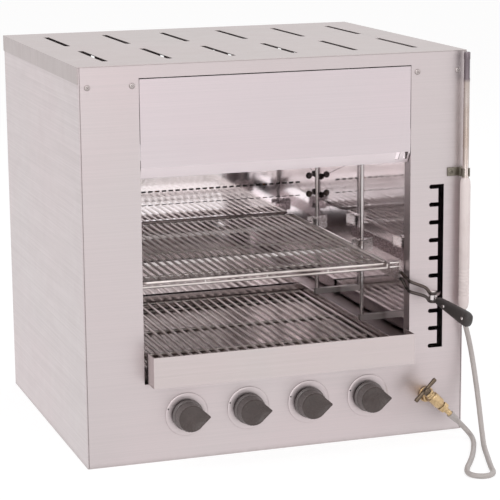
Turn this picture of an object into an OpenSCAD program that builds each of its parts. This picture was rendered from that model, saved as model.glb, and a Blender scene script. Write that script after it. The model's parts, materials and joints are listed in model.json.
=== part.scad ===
// Gas salamander grill: a sheet steel cabinet with roof burners over a rack
// that is set to height by a lever in a notched slot.
// Frame: +X to the user's right, the front faces -Y, +Z up.
// The origin is the centre of the underside. All sizes are in millimetres.

/* [Casing] */
// Width over the side flanges of the top cover
body_w = 600; // [585:1:660]
// Depth from the front plate to the rear panel
body_d = 500; // [480:1:560]
// Height from the table to the top cover
body_h = 590; // [580:1:640]
// Thickness of the casing sheets
sheet_t = 1.5; // [1:0.1:1.8]
// Depth of the top cover's side flanges
cover_flange_h = 25; // [15:1:40]
// Width of the turned-in edges of the side panels
side_flange_w = 16; // [14:1:20]
// Dark seam between the front plate and each side panel
seam_gap = 1; // [0.5:0.1:1.5]
// Height of the base panel's upturned edge
base_flange_h = 20; // [10:1:30]
// Air slots in the base panel
base_slot_count = 4; // [2:2:4]

/* [Flue slots] */
// Slots at each side of the middle one in the rear panel
flue_side_count = 7; // [4:1:8]
// Spacing of the flue slots
flue_pitch = 30; // [24:1:32]
// Width of each flue slot
flue_w = 6; // [4:0.5:8]
// Height of each flue slot
flue_h = 46; // [30:1:50]
// Distance from the cover down to the middle of the flue slots
flue_drop = 62; // [58:1:68]

/* [Top cover slots] */
// Slots in each of the two rows
cover_slot_count = 6; // [4:2:6]
// Spacing of the slots across the cover
cover_slot_pitch = 97; // [80:1:100]
// Length of each slot
cover_slot_len = 155; // [120:1:165]
// Width of each slot
cover_slot_w = 9; // [6:1:12]
// Distance from the middle of the cover to the middle of each row
cover_row_y = 114; // [100:1:120]

/* [Front opening] */
// Width of the front opening
opening_w = 420; // [400:1:424]
// Height of the cavity floor above the table
floor_z = 120; // [116:1:124]
// Distance from the top edge of the opening down from the cover
opening_top_drop = 19.5; // [15:0.5:24]
// Slit left open above the hood
hood_slit = 1.5; // [1:0.1:3]
// Height of the bend where the hood turns inward
hood_bend_z = 441; // [438:1:446]
// Height of the hood's lower edge
hood_lip_z = 424; // [422:1:430]
// How far the hood's lower edge lies behind the front
hood_recess = 10; // [6:1:12]
// Height of the stiffening fold behind the hood's lower edge
hood_fold = 5; // [3:1:6]
// Depth of the turned-in edges beside the opening
jamb_depth = 22; // [15:1:24]
// Clearance at each side of the hood
hood_side_gap = 0.8; // [0.5:0.1:1.2]
// Width of the fold behind the hood's upper edge
hood_return = 12; // [8:1:14]
// Width of the two relief cuts in the right end of the hood's bend
hood_relief_w = 6; // [4:0.5:7]
// Height of the relief cuts
hood_relief_h = 12; // [8:0.5:14]
// Distance between the middles of the relief cuts
hood_relief_pitch = 13; // [11:0.5:15]

/* [Cavity] */
// Inside width of the cavity
cavity_w = 470; // [468:1:474]
// Gap between the cavity's back wall and the rear panel
back_gap = 40; // [38:1:50]
// Height of the cavity roof
roof_z = 475; // [474:1:478]
// Gap between the front and the cavity roof
roof_front_gap = 5; // [3:0.5:8]
// Length of each air slot in the back wall
air_slot_len = 8; // [6:0.5:9]
// Height of each air slot in the back wall
air_slot_h = 3; // [2:0.5:4]
// Spacing of the air slots
air_slot_pitch = 12; // [11:0.5:16]
// Height of the upper row of air slots
air_row_z = 321; // [310:1:340]
// Distance from the upper row down to the lower row
air_row_drop = 23; // [15:1:30]

/* [Burners] */
// Length of each burner from front to back
burner_len = 360; // [320:1:364]
// Width of each burner housing
burner_w = 90; // [80:1:92]
// Height of each burner housing above the roof
burner_h = 36; // [30:1:40]
// Thickness of the ceramic plaques
plaque_t = 12; // [10:1:14]
// Rim of the roof that each plaque rests on
plaque_rim = 4; // [3:0.5:6]
// Outer radius of the mixer tubes
mixer_r = 11; // [9:0.5:12]
// Length of the mixer tubes
mixer_len = 16; // [12:1:18]
// Air gap between injector and mixer tube
injector_gap = 3; // [2:0.5:5]
// Outer radius of the injectors
injector_r = 7; // [6:0.5:8]
// Length of the injectors
injector_len = 12; // [10:1:14]
// Outer radius of the supply pipes
pipe_r = 5; // [4:0.5:5.5]

/* [Knobs and taps] */
// Spacing of the knobs
knob_pitch = 96; // [94:0.5:97]
// Middle of the knob row, to the right of the centre line
knob_row_x = -2.5; // [-5:0.5:5]
// Height of the knob row
knob_z = 69; // [66:0.5:74]
// Radius of the knobs
knob_r = 23.5; // [21:0.5:25]
// Distance from the knob's axis to the tip of its pointer
knob_tip = 28.5; // [27:0.5:31]
// Depth of the knobs
knob_depth = 24; // [20:0.5:28]
// Free space behind a knob at rest
knob_gap = 3.8; // [3.5:0.1:5]
// Outer radius of the bezels
bezel_r = 33; // [30:0.5:36]
// Thickness of the bezels
bezel_t = 1.2; // [0.8:0.1:1.6]
// Radius of the tap stems
stem_r = 4; // [3:0.1:5]
// Running clearance around the stems
stem_fit = 0.05; // [0.03:0.01:0.09]
// Radius of the stem holes in the front plate
stem_hole_r = 8; // [7.5:0.5:10]
// Width and height of the tap bodies
tap_w = 28; // [26:1:32]
// Length of the tap bodies
tap_len = 36; // [34:1:38]
// Radius of the return collar inside each tap
collar_r = 9; // [8:0.5:10]
// Length of the return collars
collar_len = 5; // [4:0.5:6]
// Depth of the collar's chamber
chamber_len = 15; // [13:0.5:17]
// Outer radius of the manifold pipe
manifold_r = 10.65; // [10:0.05:12]
// Wall of the manifold and inlet pipes
pipe_wall = 2.6; // [2:0.1:3]
// Outer radius of the inlet thread
inlet_r = 10.48; // [10:0.01:11]
// Length of the inlet thread behind the rear panel
inlet_len = 18; // [15:1:25]
// How much slimmer the inlet pipe is than its thread
inlet_step = 1; // [0.5:0.1:1.2]
// Distance from the right side to the axis of the inlet
inlet_side = 38; // [36:1:42]

/* [Rack carriage] */
// Radius of the guide rods
rod_r = 3; // [2.5:0.1:3.5]
// Running clearance on the guide rods
rod_fit = 0.08; // [0.04:0.01:0.1]
// Distance from the cavity's right wall to the rods
rod_side = 38; // [37:0.5:39]
// Distance from the front to the front rod
rod_front = 161; // [150:1:170]
// Distance from the back wall to the rear rod
rod_back = 97; // [90:1:105]
// Width of the rod brackets
bracket_w = 9; // [8:0.5:10]
// Height of the rods' upper brackets
bracket_h = 8; // [6:0.5:8.5]
// Height of the rods' lower brackets, which stand out from the right wall
rod_foot_h = 9; // [8:0.5:10]
// Gap between the rods' lower brackets and the carriage bar at its lowest
foot_bar_gap = 1.5; // [1:0.25:3]
// Height of the guide plates that run on the rods
guide_h = 21; // [18:0.5:24]
// Thickness of the guide plates and their drilled tabs
guide_t = 2; // [1.5:0.1:2.5]
// How far the guide plates reach to the left of the rods, over the rack
guide_left = 15; // [13:0.5:16]
// How far the guide plates reach to the right of the rods
guide_right = 20.5; // [15:0.5:24]
// Depth of the drilled tabs
guide_tab = 11; // [10:0.5:12]
// Gap between the guide plates and the rack's top
guide_gap = 1; // [0.5:0.1:1.5]
// Thickness of the carriage bar
bar_t = 4; // [3:0.5:4.5]
// Height of the carriage bar
bar_h = 20; // [18:1:24]
// Gap between the rods and the carriage bar
bar_rod_gap = 2; // [1.5:0.1:2.5]
// Width of the two arms under the rack
arm_w = 14; // [12:1:16]
// Thickness of the two arms
arm_t = 6; // [5:0.5:8]
// Gap between the arms' ends and the left side of the rack
arm_end_gap = 10; // [5:1:20]
// Depth of the post at the front end of the bar
post_d = 6; // [5:0.5:8]

/* [Upper rack] */
// Height of the rack's wires at rest
rack_z = 267; // [265:0.5:269]
// Distance from the front to the rack
rack_front = 22; // [20:1:26]
// Gap between rack and back wall
rack_back_gap = 8; // [6:1:12]
// Gap between rack and the left edge of the opening
rack_left_gap = 3; // [2:0.5:6]
// Gap between rack and guide rods
rack_right_gap = 8; // [7.5:0.5:9]
// Radius of the rack's frame
rack_frame_r = 3; // [2.5:0.1:3.4]
// Radius of the rack's wires
rack_wire_r = 1.9; // [1.5:0.1:2.4]
// Spacing of the rack's wires
rack_pitch = 12; // [11:0.5:15]
// Distance between the two front bars
rack_bar_drop = 6.5; // [5.5:0.5:8]

/* [Lever] */
// Distance from the opening to the slot's channel
slot_offset = 46; // [45.5:0.5:47]
// Width of the channel
slot_w = 9; // [8.5:0.5:10]
// Notches in the slot
notch_count = 10; // [8:1:10]
// Spacing of the notches
notch_pitch = 27.5; // [27:0.1:27.5]
// Height of the lowest notch
notch_low_z = 137.5; // [137:0.5:139]
// Height of each notch
notch_h = 6.5; // [6:0.1:7]
// Length of the notches beside the channel
notch_len = 15; // [14.5:0.5:16]
// Notch, counted from the lowest, that the lever stands at
rest_notch = 3; // [2:1:4]
// Distance from the front to the lever's pivot
pivot_out = 24; // [24:0.5:25]
// Distance from the channel's middle left to the pivot
pivot_left = 22.5; // [22:0.5:23]
// Radius of the pivot pin
pin_r = 3; // [2.5:0.1:3.4]
// Running clearance on the pivot pin
pin_fit = 0.06; // [0.03:0.01:0.1]
// Outer radius of the lever's hub
hub_r = 6.5; // [6:0.1:7]
// Height of the lever's hub
hub_h = 8; // [7:0.5:9]
// Thickness of the fork's eyes
eye_t = 4; // [3:0.5:5]
// Play between hub and eyes
hub_play = 0.3; // [0.2:0.05:0.4]
// Radius of the fork's prongs
prong_r = 2.5; // [2:0.1:2.8]
// Length of the prongs' straight roots
prong_root = 7; // [5:1:9]
// How far the prongs run straight out past the front
prong_out = 12; // [8:1:14]
// Height between the prongs at the carriage bar
prong_pitch = 10; // [8:0.5:12]
// Width of the tongue that enters the slot
tongue_w = 3.2; // [2.8:0.1:3.6]
// Height of the tongue
tongue_h = 4.4; // [4:0.1:4.8]
// Length of the tongue from the pivot
tongue_len = 39; // [38:0.5:40]
// How far the grip's end stands out from the pivot
grip_out = 78; // [70:1:85]
// How far the grip's end lies to the right of the pivot
grip_side = 27; // [20:1:30]
// How far the grip's end lies below the pivot
grip_drop = 23; // [15:1:28]
// Half width of the grip at its end
grip_end_r = 12; // [10:0.5:13]
// Half width of the grip at the pivot
grip_root_r = 6; // [5:0.5:7]
// Thickness of the grip
grip_t = 13; // [11:0.5:15]
// Thickness of the steel strip in the grip
strip_t = 3; // [2.5:0.1:4]

/* [Drip tray] */
// Thickness of the tray sheet
tray_t = 1.2; // [0.8:0.1:1.5]
// Gap between the floor and the tray
tray_lift = 3; // [3:0.5:4]
// Play between the runners and the tray
runner_play = 0.3; // [0.3:0.05:0.5]
// Height of the apron
apron_h = 46.5; // [42:0.5:50]
// How far the apron stands out from the front
apron_out = 40; // [35:1:42]
// Gap between apron and front plate
apron_gap = 2; // [1:0.5:4]
// Gap between the apron and the left edge of the opening
apron_left_gap = 3; // [2:0.5:5]
// Gap between the apron and the fork's prongs
apron_prong_gap = 2.5; // [2:0.5:5]
// Gap between the tray and the left edge of the opening
tray_side_gap = 5; // [4:0.5:6]
// Gap between the tray's walls and the rods' lower brackets above them
pan_foot_gap = 2.5; // [1.5:0.5:4]
// Gap between the tray and the cavity's back wall
pan_back_gap = 6; // [4:1:12]
// Width of each runner
runner_w = 14; // [10:1:20]
// Radius of the lower grid's bars
grid_bar_r = 2.5; // [2:0.1:3]
// Spacing of the lower grid's bars
grid_pitch = 15; // [14:0.5:18]
// Height of the bars across under the lower grid, on which it lies
grid_cross_h = 4; // [3:0.5:5]
// Play between the grid and the tray
grid_play = 2; // [1:0.5:3]

/* [Lighting torch] */
// Distance from the right side to the torch's axis
torch_side = 6; // [4:0.5:9]
// Distance from the front to the torch's axis
torch_out = 14; // [12:0.5:20]
// Radius of the torch's tube
torch_tube_r = 5; // [4:0.5:5.5]
// Radius of the torch's handle
torch_handle_r = 8; // [7:0.5:8.5]
// Height of the handle's lower end
torch_low_z = 195; // [180:1:210]
// Length of the handle
torch_handle_len = 203; // [190:1:210]
// Height of the torch's tip
torch_top_z = 588; // [570:1:590]
// Height of the clip
clip_h = 13; // [10:1:16]
// Wall of the clip
clip_t = 2; // [1.5:0.1:2.5]
// Width of the clip's foot on the front plate
clip_foot_w = 26; // [20:1:30]
// Width of the clip's mouth
clip_mouth = 6; // [4:0.5:8]
// Outer radius of the hose
hose_r = 4; // [3:0.5:5]

/* [Torch tap] */
// Distance from the right side to the tap's inlet
ttap_side = 62; // [58:0.5:66]
// Distance from the front to the tap's axis
ttap_out = 40; // [36:0.5:44]
// Height of the tap's inlet
ttap_z = 62; // [61:0.5:66]
// Radius of the tap's body
ttap_r = 9; // [8:0.5:10]
// Distance from the tap's middle to its T-handle
ttap_stem_len = 26; // [24:0.5:28]
// Length of the T-handle
ttap_bar_len = 46; // [40:1:50]
// Distance from the tap's middle to the hose
ttap_nozzle_len = 49.49; // [45:0.01:52]

/* [Hidden] */

// Number of burners, taps and knobs; each one has nodes of its own
burner_count = 4;

// Planes of the casing
front_y = -body_d / 2;
rear_y = body_d / 2;
side_x = body_w / 2 - sheet_t;
side_in_x = side_x - sheet_t;
plate_half = side_in_x - seam_gap;
cover_z = body_h - sheet_t;
front_in_y = front_y + sheet_t;
rear_in_y = rear_y - sheet_t;
open_half = opening_w / 2;
open_top_z = body_h - opening_top_drop;
hood_top_z = open_top_z - hood_slit;

// Planes of the cavity
cav_half = cavity_w / 2;
back_y = rear_y - back_gap;

// Screws
screw_r = 2;
screw_fit = 0.05;
screw_head_r = 4.2;
screw_head_h = 2;
screw_len = 9;
screw_top_drop = 30;
screw_edge = 10.5;
ear_screw_out = 10;
rear_screw_z = [body_h - 45, body_h / 2, 45];
bolt_z = [air_row_z + 10, air_row_z - 22];
bolt_in = 16;
bolt_r = 5;
bolt_head_h = 4;

// Carriage
rod_x = cav_half - rod_side;
rod_y = [front_y + rod_front, back_y - rod_back];
bar_x = rod_x + rod_r + bar_rod_gap;
rack_right_x = rod_x - rod_r - rack_right_gap;
rack_left_x = -open_half + rack_left_gap;
rack_front_y = front_y + rack_front;
rack_back_y = back_y - rack_back_gap;
rack_top_z = rack_z + rack_wire_r;
rack_cross_y = [for (k = [0.12, 0.5, 0.88]) rack_front_y + k * (rack_back_y - rack_front_y)];
arm_top_z = rack_z - rack_wire_r;
guide_low_z = rack_z - guide_h / 2;
guide_high_z = rack_z + guide_h / 2;
bar_top_z = guide_low_z + guide_t;
bar_low_z = bar_top_z - bar_h;
rod_foot_z = bar_low_z - rest_notch * notch_pitch - foot_bar_gap - rod_foot_h;
prong_clear = 0.5;
prong_drop = 7;
pin_head_r = pin_r + 1.5;

// Lever
channel_x = open_half + slot_offset + slot_w / 2;
notch_left_x = channel_x - slot_w / 2 - notch_len;
slot_low_z = notch_low_z - notch_h / 2;
slot_high_z = notch_low_z + (notch_count - 1) * notch_pitch + notch_h / 2;
pivot = [
    channel_x - pivot_left,
    front_y - pivot_out,
    notch_low_z + rest_notch * notch_pitch
];
tongue_angle = atan2(pivot_out + sheet_t / 2, pivot_left);
grip_end = pivot + [grip_side, -grip_out, -grip_drop];
grip_angle = atan2(-grip_out, grip_side);

// Drip tray
tray_z = floor_z + tray_lift;
apron_y = front_y - apron_out;
apron_back_y = front_y - apron_gap;
apron_left_x = -open_half + apron_left_gap;
apron_right_x = open_half - 2 * prong_r - prong_clear - apron_prong_gap;
pan_left_x = -open_half + tray_side_gap;
pan_back_y = back_y - pan_back_gap;
pan_top_z = rod_foot_z - pan_foot_gap;
grid_edge = tray_t + grid_play;
grid_low = [pan_left_x + grid_edge, apron_y + grid_edge];
grid_high = [apron_right_x - grid_edge, pan_back_y - grid_edge];
grid_under_z = tray_z + tray_t + grid_cross_h;
grid_cross_y = [for (k = [0.08, 0.36, 0.64, 0.92]) grid_low.y + k * (grid_high.y - grid_low.y)];

// Taps and pipes: gap behind the front plate, length of the outlet to the
// manifold and of the manifold's free end, and depths inside the pieces
tap_gap = 5;
outlet_len = 4;
outlet_r = 7;
manifold_end = 30;
chamber_gap = 3;
stem_end_gap = 6;
socket_len = 6;
pipe_tap_gap = 8;
tee_half = 14;
tee_wall = 3;
knob_x = [
    for (i = [0:burner_count - 1])
        knob_row_x + (i - (burner_count - 1) / 2) * knob_pitch
];
tap_front_y = front_in_y + tap_gap;
tap_rear_y = tap_front_y + tap_len;
knob_front_wall = 6;
knob_pointer_angle = 38;
manifold_y = tap_rear_y + manifold_r + outlet_len;
manifold_left_x = knob_x[0] - manifold_end;
inlet_x = side_x - inlet_side;
pipe_low_z = floor_z - 16;
pipe_back_y = back_y + back_gap / 2;
mixer_z = roof_z + burner_h / 2 + sheet_t + 2;
burner_y = (front_y + back_y) / 2;
mixer_end_y = burner_y + burner_len / 2 + mixer_len;

// Lighting torch
torch_x = body_w / 2 - torch_side;
torch_y = front_y - torch_out;
clip_z = torch_low_z + torch_handle_len + 2;
ttap = [body_w / 2 - ttap_side, front_y - ttap_out, ttap_z];
ttap_pipe_r = 6;
ttap_stem_r = 3.5;

// Route of the hose: from the torch's handle down to the table, forward in a
// narrow loop and back to the torch tap
hose_route = [
    [294, -264, 195], [294.5, -264, 184], [297.5, -264.5, 168], [301.5, -267, 149], [304.5, -272, 126],
    [306, -279, 102], [306.5, -288, 76], [305.5, -299, 51], [303, -312, 28], [298.5, -328, 11.5],
    [291, -348, 4.8], [281, -374, 4.2], [271, -402, 4.2], [261, -430, 4.2], [252.5, -455, 4.2],
    [246.5, -474, 4.2], [239, -484.5, 4.2], [228, -488, 4.2], [217, -484, 4.2], [210.8, -474.5, 4.2],
    [211.2, -462, 4.2], [219.5, -444, 4.2], [232, -425, 4.2], [245, -404, 4.2], [257, -383, 4.2],
    [267.5, -362.5, 4.2], [276.5, -344, 4.2], [283.5, -327.5, 4.2], [288.5, -312.5, 4.3], [289.7, -301.5, 6.8],
    [286, -293.2, 13], [279.3, -290, 20.7], [273, -290, 27]
];
hose_sides = 8;
// A direction that the hose never runs in, so that its rings don't twist
hose_side = [0, 1, -1];

// Straight round bar between two points
module rod_between(a, b, r) {
    v = b - a;
    translate(a)
        rotate([0, acos(v.z / norm(v)), atan2(v.y, v.x)])
            cylinder(r = r, h = norm(v), $fn = 32);
}

// Round bar along a chain of points with rounded corners
module bent_rod(points, r) {
    for (i = [0:len(points) - 2])
        rod_between(points[i], points[i + 1], r);
    for (i = [1:len(points) - 2])
        translate(points[i])
            sphere(r = r + 0.15, $fn = 32);
}

// Box between two corners
module block(low, high) {
    translate(low)
        cube(high - low);
}

// Frame of square bars with evenly spaced bars from front to back, its top at
// z_top; low and high are its outer corners in plan
module bar_lattice(low, high, z_top, frame_w, bar_w, h, pitch) {
    first = low.x + frame_w / 2;
    last = high.x - frame_w / 2;
    count = floor((last - first) / pitch);
    step = (last - first) / count;
    translate([0, 0, z_top - h])
        linear_extrude(h)
            difference() {
                translate(low)
                    square(high - low);
                for (i = [0:count - 1]) {
                    left = first + i * step + (i == 0 ? frame_w : bar_w) / 2;
                    right = first + (i + 1) * step - (i == count - 1 ? frame_w : bar_w) / 2;
                    translate([left, low.y + frame_w])
                        square([right - left, high.y - low.y - 2 * frame_w]);
                }
            }
}

// Cylinder along Y from y0 to y1
module tube_y(x, y0, y1, z, r) {
    translate([x, y0, z])
        rotate([-90, 0, 0])
            cylinder(r = r, h = y1 - y0, $fn = 64);
}

// Slot with round ends, length along Y, cut upward from z
module slot_y(x, y, z, w, l, h) {
    translate([x, y, z])
        linear_extrude(h) {
            square([w, l - w], center = true);
            for (s = [-1, 1])
                translate([0, s * (l - w) / 2])
                    circle(r = w / 2, $fn = 32);
        }
}

// Slot with round ends, length along X, cut along Y from y
module slot_xz(x, y, z, l, h, depth) {
    translate([x, y + depth, z])
        rotate([90, 0, 0])
            linear_extrude(depth) {
                square([l - h, h], center = true);
                for (s = [-1, 1])
                    translate([s * (l - h) / 2, 0])
                        circle(r = h / 2, $fn = 24);
            }
}

// Pan head screw at a point; its head faces -Y for dir 1 and +Y for dir -1
module screw(p, dir) {
    translate(p)
        rotate([90 * dir, 0, 0]) {
            cylinder(r = screw_head_r, h = screw_head_h, $fn = 32);
            translate([0, 0, -screw_len])
                cylinder(r = screw_r, h = screw_len + 0.1, $fn = 24);
        }
}

// Places of the front plate's screws, as pairs of x and z
front_screws = [
    for (s = [-1, 1], x = [plate_half - screw_edge, open_half + ear_screw_out])
        [s * x, body_h - screw_top_drop]
];
rear_screws = [
    for (s = [-1, 1], z = rear_screw_z)
        [s * (side_in_x - screw_edge), z]
];

module base_panel() {
    color([0.78, 0.76, 0.76])
        difference() {
            union() {
                block([-side_x, front_y, 0], [side_x, rear_y, sheet_t]);
                for (s = [-1, 1])
                    translate([s * (side_in_x - sheet_t / 2), 0, base_flange_h / 2 + sheet_t])
                        cube([sheet_t, body_d - 4 * side_flange_w, base_flange_h], center = true);
            }
            for (i = [0:base_slot_count - 1])
                slot_y(
                    (i - (base_slot_count - 1) / 2) * cover_slot_pitch,
                    0, -1, cover_slot_w, cover_slot_len, sheet_t + 2
                );
        }
}

module side_panel(s) {
    flange_x = side_in_x - side_flange_w;
    difference() {
        union() {
            translate([s * (side_x - sheet_t / 2), 0, sheet_t + (cover_z - sheet_t) / 2])
                cube([sheet_t, body_d, cover_z - sheet_t], center = true);
            for (y = [front_in_y + sheet_t / 2, rear_in_y - sheet_t / 2])
                translate([s * (flange_x + side_in_x) / 2, y, (cover_z + sheet_t) / 2])
                    cube([side_flange_w + 0.01, sheet_t, cover_z - sheet_t], center = true);
        }
        for (p = front_screws)
            tube_y(p.x, front_y - 1, front_y + 10, p.y, screw_r + screw_fit);
        for (p = rear_screws)
            tube_y(p.x, rear_y - 10, rear_y + 1, p.y, screw_r + screw_fit);
    }
}

module left_side_panel() {
    color([0.80, 0.77, 0.77])
        side_panel(-1);
}

module right_side_panel() {
    color([0.80, 0.77, 0.77])
        side_panel(1);
}

module rear_panel() {
    color([0.76, 0.74, 0.74])
        difference() {
            block([-plate_half, rear_in_y, sheet_t], [plate_half, rear_y, cover_z]);
            for (i = [-flue_side_count:flue_side_count])
                translate([i * flue_pitch, rear_y, body_h - flue_drop])
                    cube([flue_w, 20, flue_h], center = true);
            for (p = rear_screws)
                tube_y(p.x, rear_in_y - 1, rear_y + 1, p.y, screw_r + screw_fit);
            tube_y(inlet_x, rear_in_y - 1, rear_y + 1, knob_z, inlet_r + 2);
        }
}

module top_cover() {
    color([0.84, 0.82, 0.82])
        difference() {
            block([-body_w / 2, front_y, body_h - cover_flange_h], [body_w / 2, rear_y, body_h]);
            block([-side_x, front_y - 1, 0], [side_x, rear_y + 1, cover_z]);
            for (i = [0:cover_slot_count - 1], s = [-1, 1])
                slot_y(
                    (i - (cover_slot_count - 1) / 2) * cover_slot_pitch,
                    s * cover_row_y,
                    cover_z - 1, cover_slot_w, cover_slot_len, sheet_t + 2
                );
        }
}

// Notched slot that the lever's tongue moves in
module lever_slot() {
    block(
        [channel_x - slot_w / 2, front_y - 1, slot_low_z],
        [channel_x + slot_w / 2, front_in_y + 1, slot_high_z]
    );
    for (i = [0:notch_count - 1])
        slot_xz(
            (notch_left_x + channel_x) / 2, front_y - 1,
            notch_low_z + i * notch_pitch,
            channel_x - notch_left_x, notch_h, sheet_t + 2
        );
}

module front_plate() {
    color([0.82, 0.79, 0.79])
        difference() {
            union() {
                difference() {
                    block([-plate_half, front_y, sheet_t], [plate_half, front_in_y, cover_z]);
                    block(
                        [-open_half, front_y - 1, floor_z],
                        [open_half, front_in_y + 1, open_top_z]
                    );
                }
                for (s = [-1, 1])
                    translate([s * (open_half + sheet_t / 2), front_y + jamb_depth / 2, 0])
                        translate([0, 0, (floor_z + hood_bend_z) / 2])
                            cube([sheet_t, jamb_depth, hood_bend_z - floor_z], center = true);
            }
            lever_slot();
            for (x = knob_x)
                tube_y(x, front_y - 1, front_in_y + 1, knob_z, stem_hole_r);
            for (p = front_screws)
                tube_y(p.x, front_y - 1, front_in_y + 1, p.y, screw_r + screw_fit);
            tube_y(ttap.x, front_y - 1, front_in_y + 1, ttap.z, ttap_pipe_r + 2);
        }
}

// Sheet of the hood as a side outline, with depth measured from the front
module hood_outline() {
    inner_z = hood_bend_z - sheet_t / 4;
    polygon([
        [0, hood_top_z], [hood_return, hood_top_z], [hood_return, hood_top_z - sheet_t],
        [sheet_t, hood_top_z - sheet_t], [sheet_t, inner_z],
        [hood_recess + sheet_t, hood_lip_z + sheet_t],
        [hood_recess + hood_fold, hood_lip_z + sheet_t],
        [hood_recess + hood_fold, hood_lip_z],
        [hood_recess, hood_lip_z], [0, hood_bend_z]
    ]);
}

// Cheek that closes the end of the hood's recess
module hood_cheek_outline() {
    polygon([
        [sheet_t / 2, hood_bend_z - 2],
        [hood_recess, hood_lip_z + 1],
        [hood_recess + hood_fold, hood_lip_z + sheet_t / 2],
        [hood_recess + hood_fold, hood_bend_z + 10],
        [sheet_t / 2, hood_bend_z + 10]
    ]);
}

// Extrude a side outline along X between x0 and x1
module side_extrude(x0, x1) {
    translate([x0, front_y, 0])
        rotate([90, 0, 90])
            linear_extrude(x1 - x0)
                children();
}

module hood_panel() {
    half = open_half - hood_side_gap;
    ear_z = body_h - screw_top_drop - 10;
    ear_h = 34;
    color([0.82, 0.79, 0.79])
        difference() {
            union() {
                side_extrude(-half, half)
                    hood_outline();
                for (s = [-1, 1])
                    side_extrude(
                        s * half - (s > 0 ? sheet_t : 0),
                        s * half + (s > 0 ? 0 : sheet_t)
                    )
                        hood_cheek_outline();
                for (s = [-1, 1])
                    translate([s * (half + ear_screw_out / 2), front_in_y + sheet_t / 2, ear_z])
                        cube([2.4 * ear_screw_out, sheet_t, ear_h], center = true);
            }
            for (k = [0, 1])
                block(
                    [
                        half - 2 * sheet_t - hood_relief_w - k * hood_relief_pitch,
                        front_y - 1, hood_bend_z - hood_relief_h
                    ],
                    [
                        half - 2 * sheet_t - k * hood_relief_pitch,
                        front_y + hood_recess + hood_fold - sheet_t, hood_bend_z
                    ]
                );
            for (p = front_screws)
                tube_y(p.x, front_y - 1, front_y + 10, p.y, screw_r + screw_fit);
        }
}

module cavity_side_wall(s) {
    difference() {
        translate([s * (cav_half + sheet_t / 2), (front_in_y + back_y) / 2, (floor_z + roof_z) / 2])
            cube([sheet_t, back_y - front_in_y, roof_z - floor_z], center = true);
        for (z = bolt_z)
            translate([s * (cav_half - 1), back_y - bolt_in, z])
                rotate([0, 90 * s, 0])
                    cylinder(r = screw_r + screw_fit, h = sheet_t + 2, $fn = 24);
    }
}

module cavity_left_wall() {
    color([0.88, 0.87, 0.87])
        cavity_side_wall(-1);
}

module cavity_right_wall() {
    color([0.88, 0.87, 0.87])
        cavity_side_wall(1);
}

module cavity_back_wall() {
    slots = floor((cavity_w - 60) / air_slot_pitch);
    color([0.88, 0.87, 0.87])
        difference() {
            block(
                [-cav_half - sheet_t, back_y, floor_z],
                [cav_half + sheet_t, back_y + sheet_t, roof_z]
            );
            for (i = [0:slots - 1], z = [air_row_z, air_row_z - air_row_drop])
                translate([(i - (slots - 1) / 2) * air_slot_pitch, back_y, z])
                    cube([air_slot_len, 8, z == air_row_z ? air_slot_h : air_slot_h / 2], center = true);
            for (s = [-1, 1], z = bolt_z)
                tube_y(s * (cav_half - bolt_in), back_y - 1, back_y + 5, z, screw_r + screw_fit);
        }
}

module cavity_roof() {
    color([0.70, 0.69, 0.69])
        difference() {
            block(
                [-cav_half - sheet_t, front_y + roof_front_gap, roof_z],
                [cav_half + sheet_t, back_y + sheet_t, roof_z + sheet_t]
            );
            for (x = knob_x)
                translate([x, burner_y, roof_z])
                    cube([
                        burner_w - 2 * (sheet_t + plaque_rim),
                        burner_len - 2 * (sheet_t + plaque_rim),
                        10
                    ], center = true);
        }
}

module cavity_floor() {
    color([0.70, 0.69, 0.69])
        block(
            [-cav_half - sheet_t, front_in_y, floor_z - sheet_t],
            [cav_half + sheet_t, back_y + sheet_t, floor_z]
        );
}

// Open-bottomed burner box with its mixer tube
module burner_housing(i) {
    z0 = roof_z + sheet_t;
    color([0.60, 0.59, 0.58])
        difference() {
            union() {
                translate([knob_x[i], burner_y, z0 + burner_h / 2])
                    cube([burner_w, burner_len, burner_h], center = true);
                tube_y(knob_x[i], burner_y, mixer_end_y, mixer_z, mixer_r);
            }
            translate([knob_x[i], burner_y, z0 + burner_h / 2 - sheet_t])
                cube([burner_w - 2 * sheet_t, burner_len - 2 * sheet_t, burner_h], center = true);
            tube_y(knob_x[i], burner_y, mixer_end_y + 1, mixer_z, mixer_r - sheet_t);
        }
}

module burner_plaques() {
    color([0.86, 0.80, 0.72])
        for (x = knob_x)
            translate([x, burner_y, roof_z + sheet_t + plaque_t / 2])
                cube([
                    burner_w - 2 * sheet_t - 0.4,
                    burner_len - 2 * sheet_t - 0.4,
                    plaque_t
                ], center = true);
}

module injectors() {
    y0 = mixer_end_y + injector_gap;
    color([0.80, 0.65, 0.35])
        for (x = knob_x)
            difference() {
                tube_y(x, y0, y0 + injector_len, mixer_z, injector_r);
                tube_y(x, y0 - 1, y0 + injector_len + 1, mixer_z, 1);
            }
}

module burner_pipes() {
    y0 = mixer_end_y + injector_gap + injector_len;
    tap_y = tap_rear_y - pipe_tap_gap;
    color([0.78, 0.48, 0.30])
        for (x = knob_x)
            bent_rod([
                [x, tap_y, knob_z + tap_w / 2], [x, tap_y, pipe_low_z],
                [x, pipe_back_y, pipe_low_z], [x, pipe_back_y, mixer_z],
                [x, y0, mixer_z]
            ], pipe_r);
}

module manifold_bar(r) {
    translate([manifold_left_x, manifold_y, knob_z])
        rotate([0, 90, 0])
            cylinder(r = r, h = inlet_x - manifold_left_x, $fn = 48);
}

module gas_manifold() {
    color([0.62, 0.60, 0.56])
        difference() {
            manifold_bar(manifold_r);
            translate([socket_len, 0, 0])
                manifold_bar(manifold_r - pipe_wall);
            tube_y(inlet_x, manifold_y - 20, manifold_y + 20, knob_z, manifold_r + tee_wall);
        }
}

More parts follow.
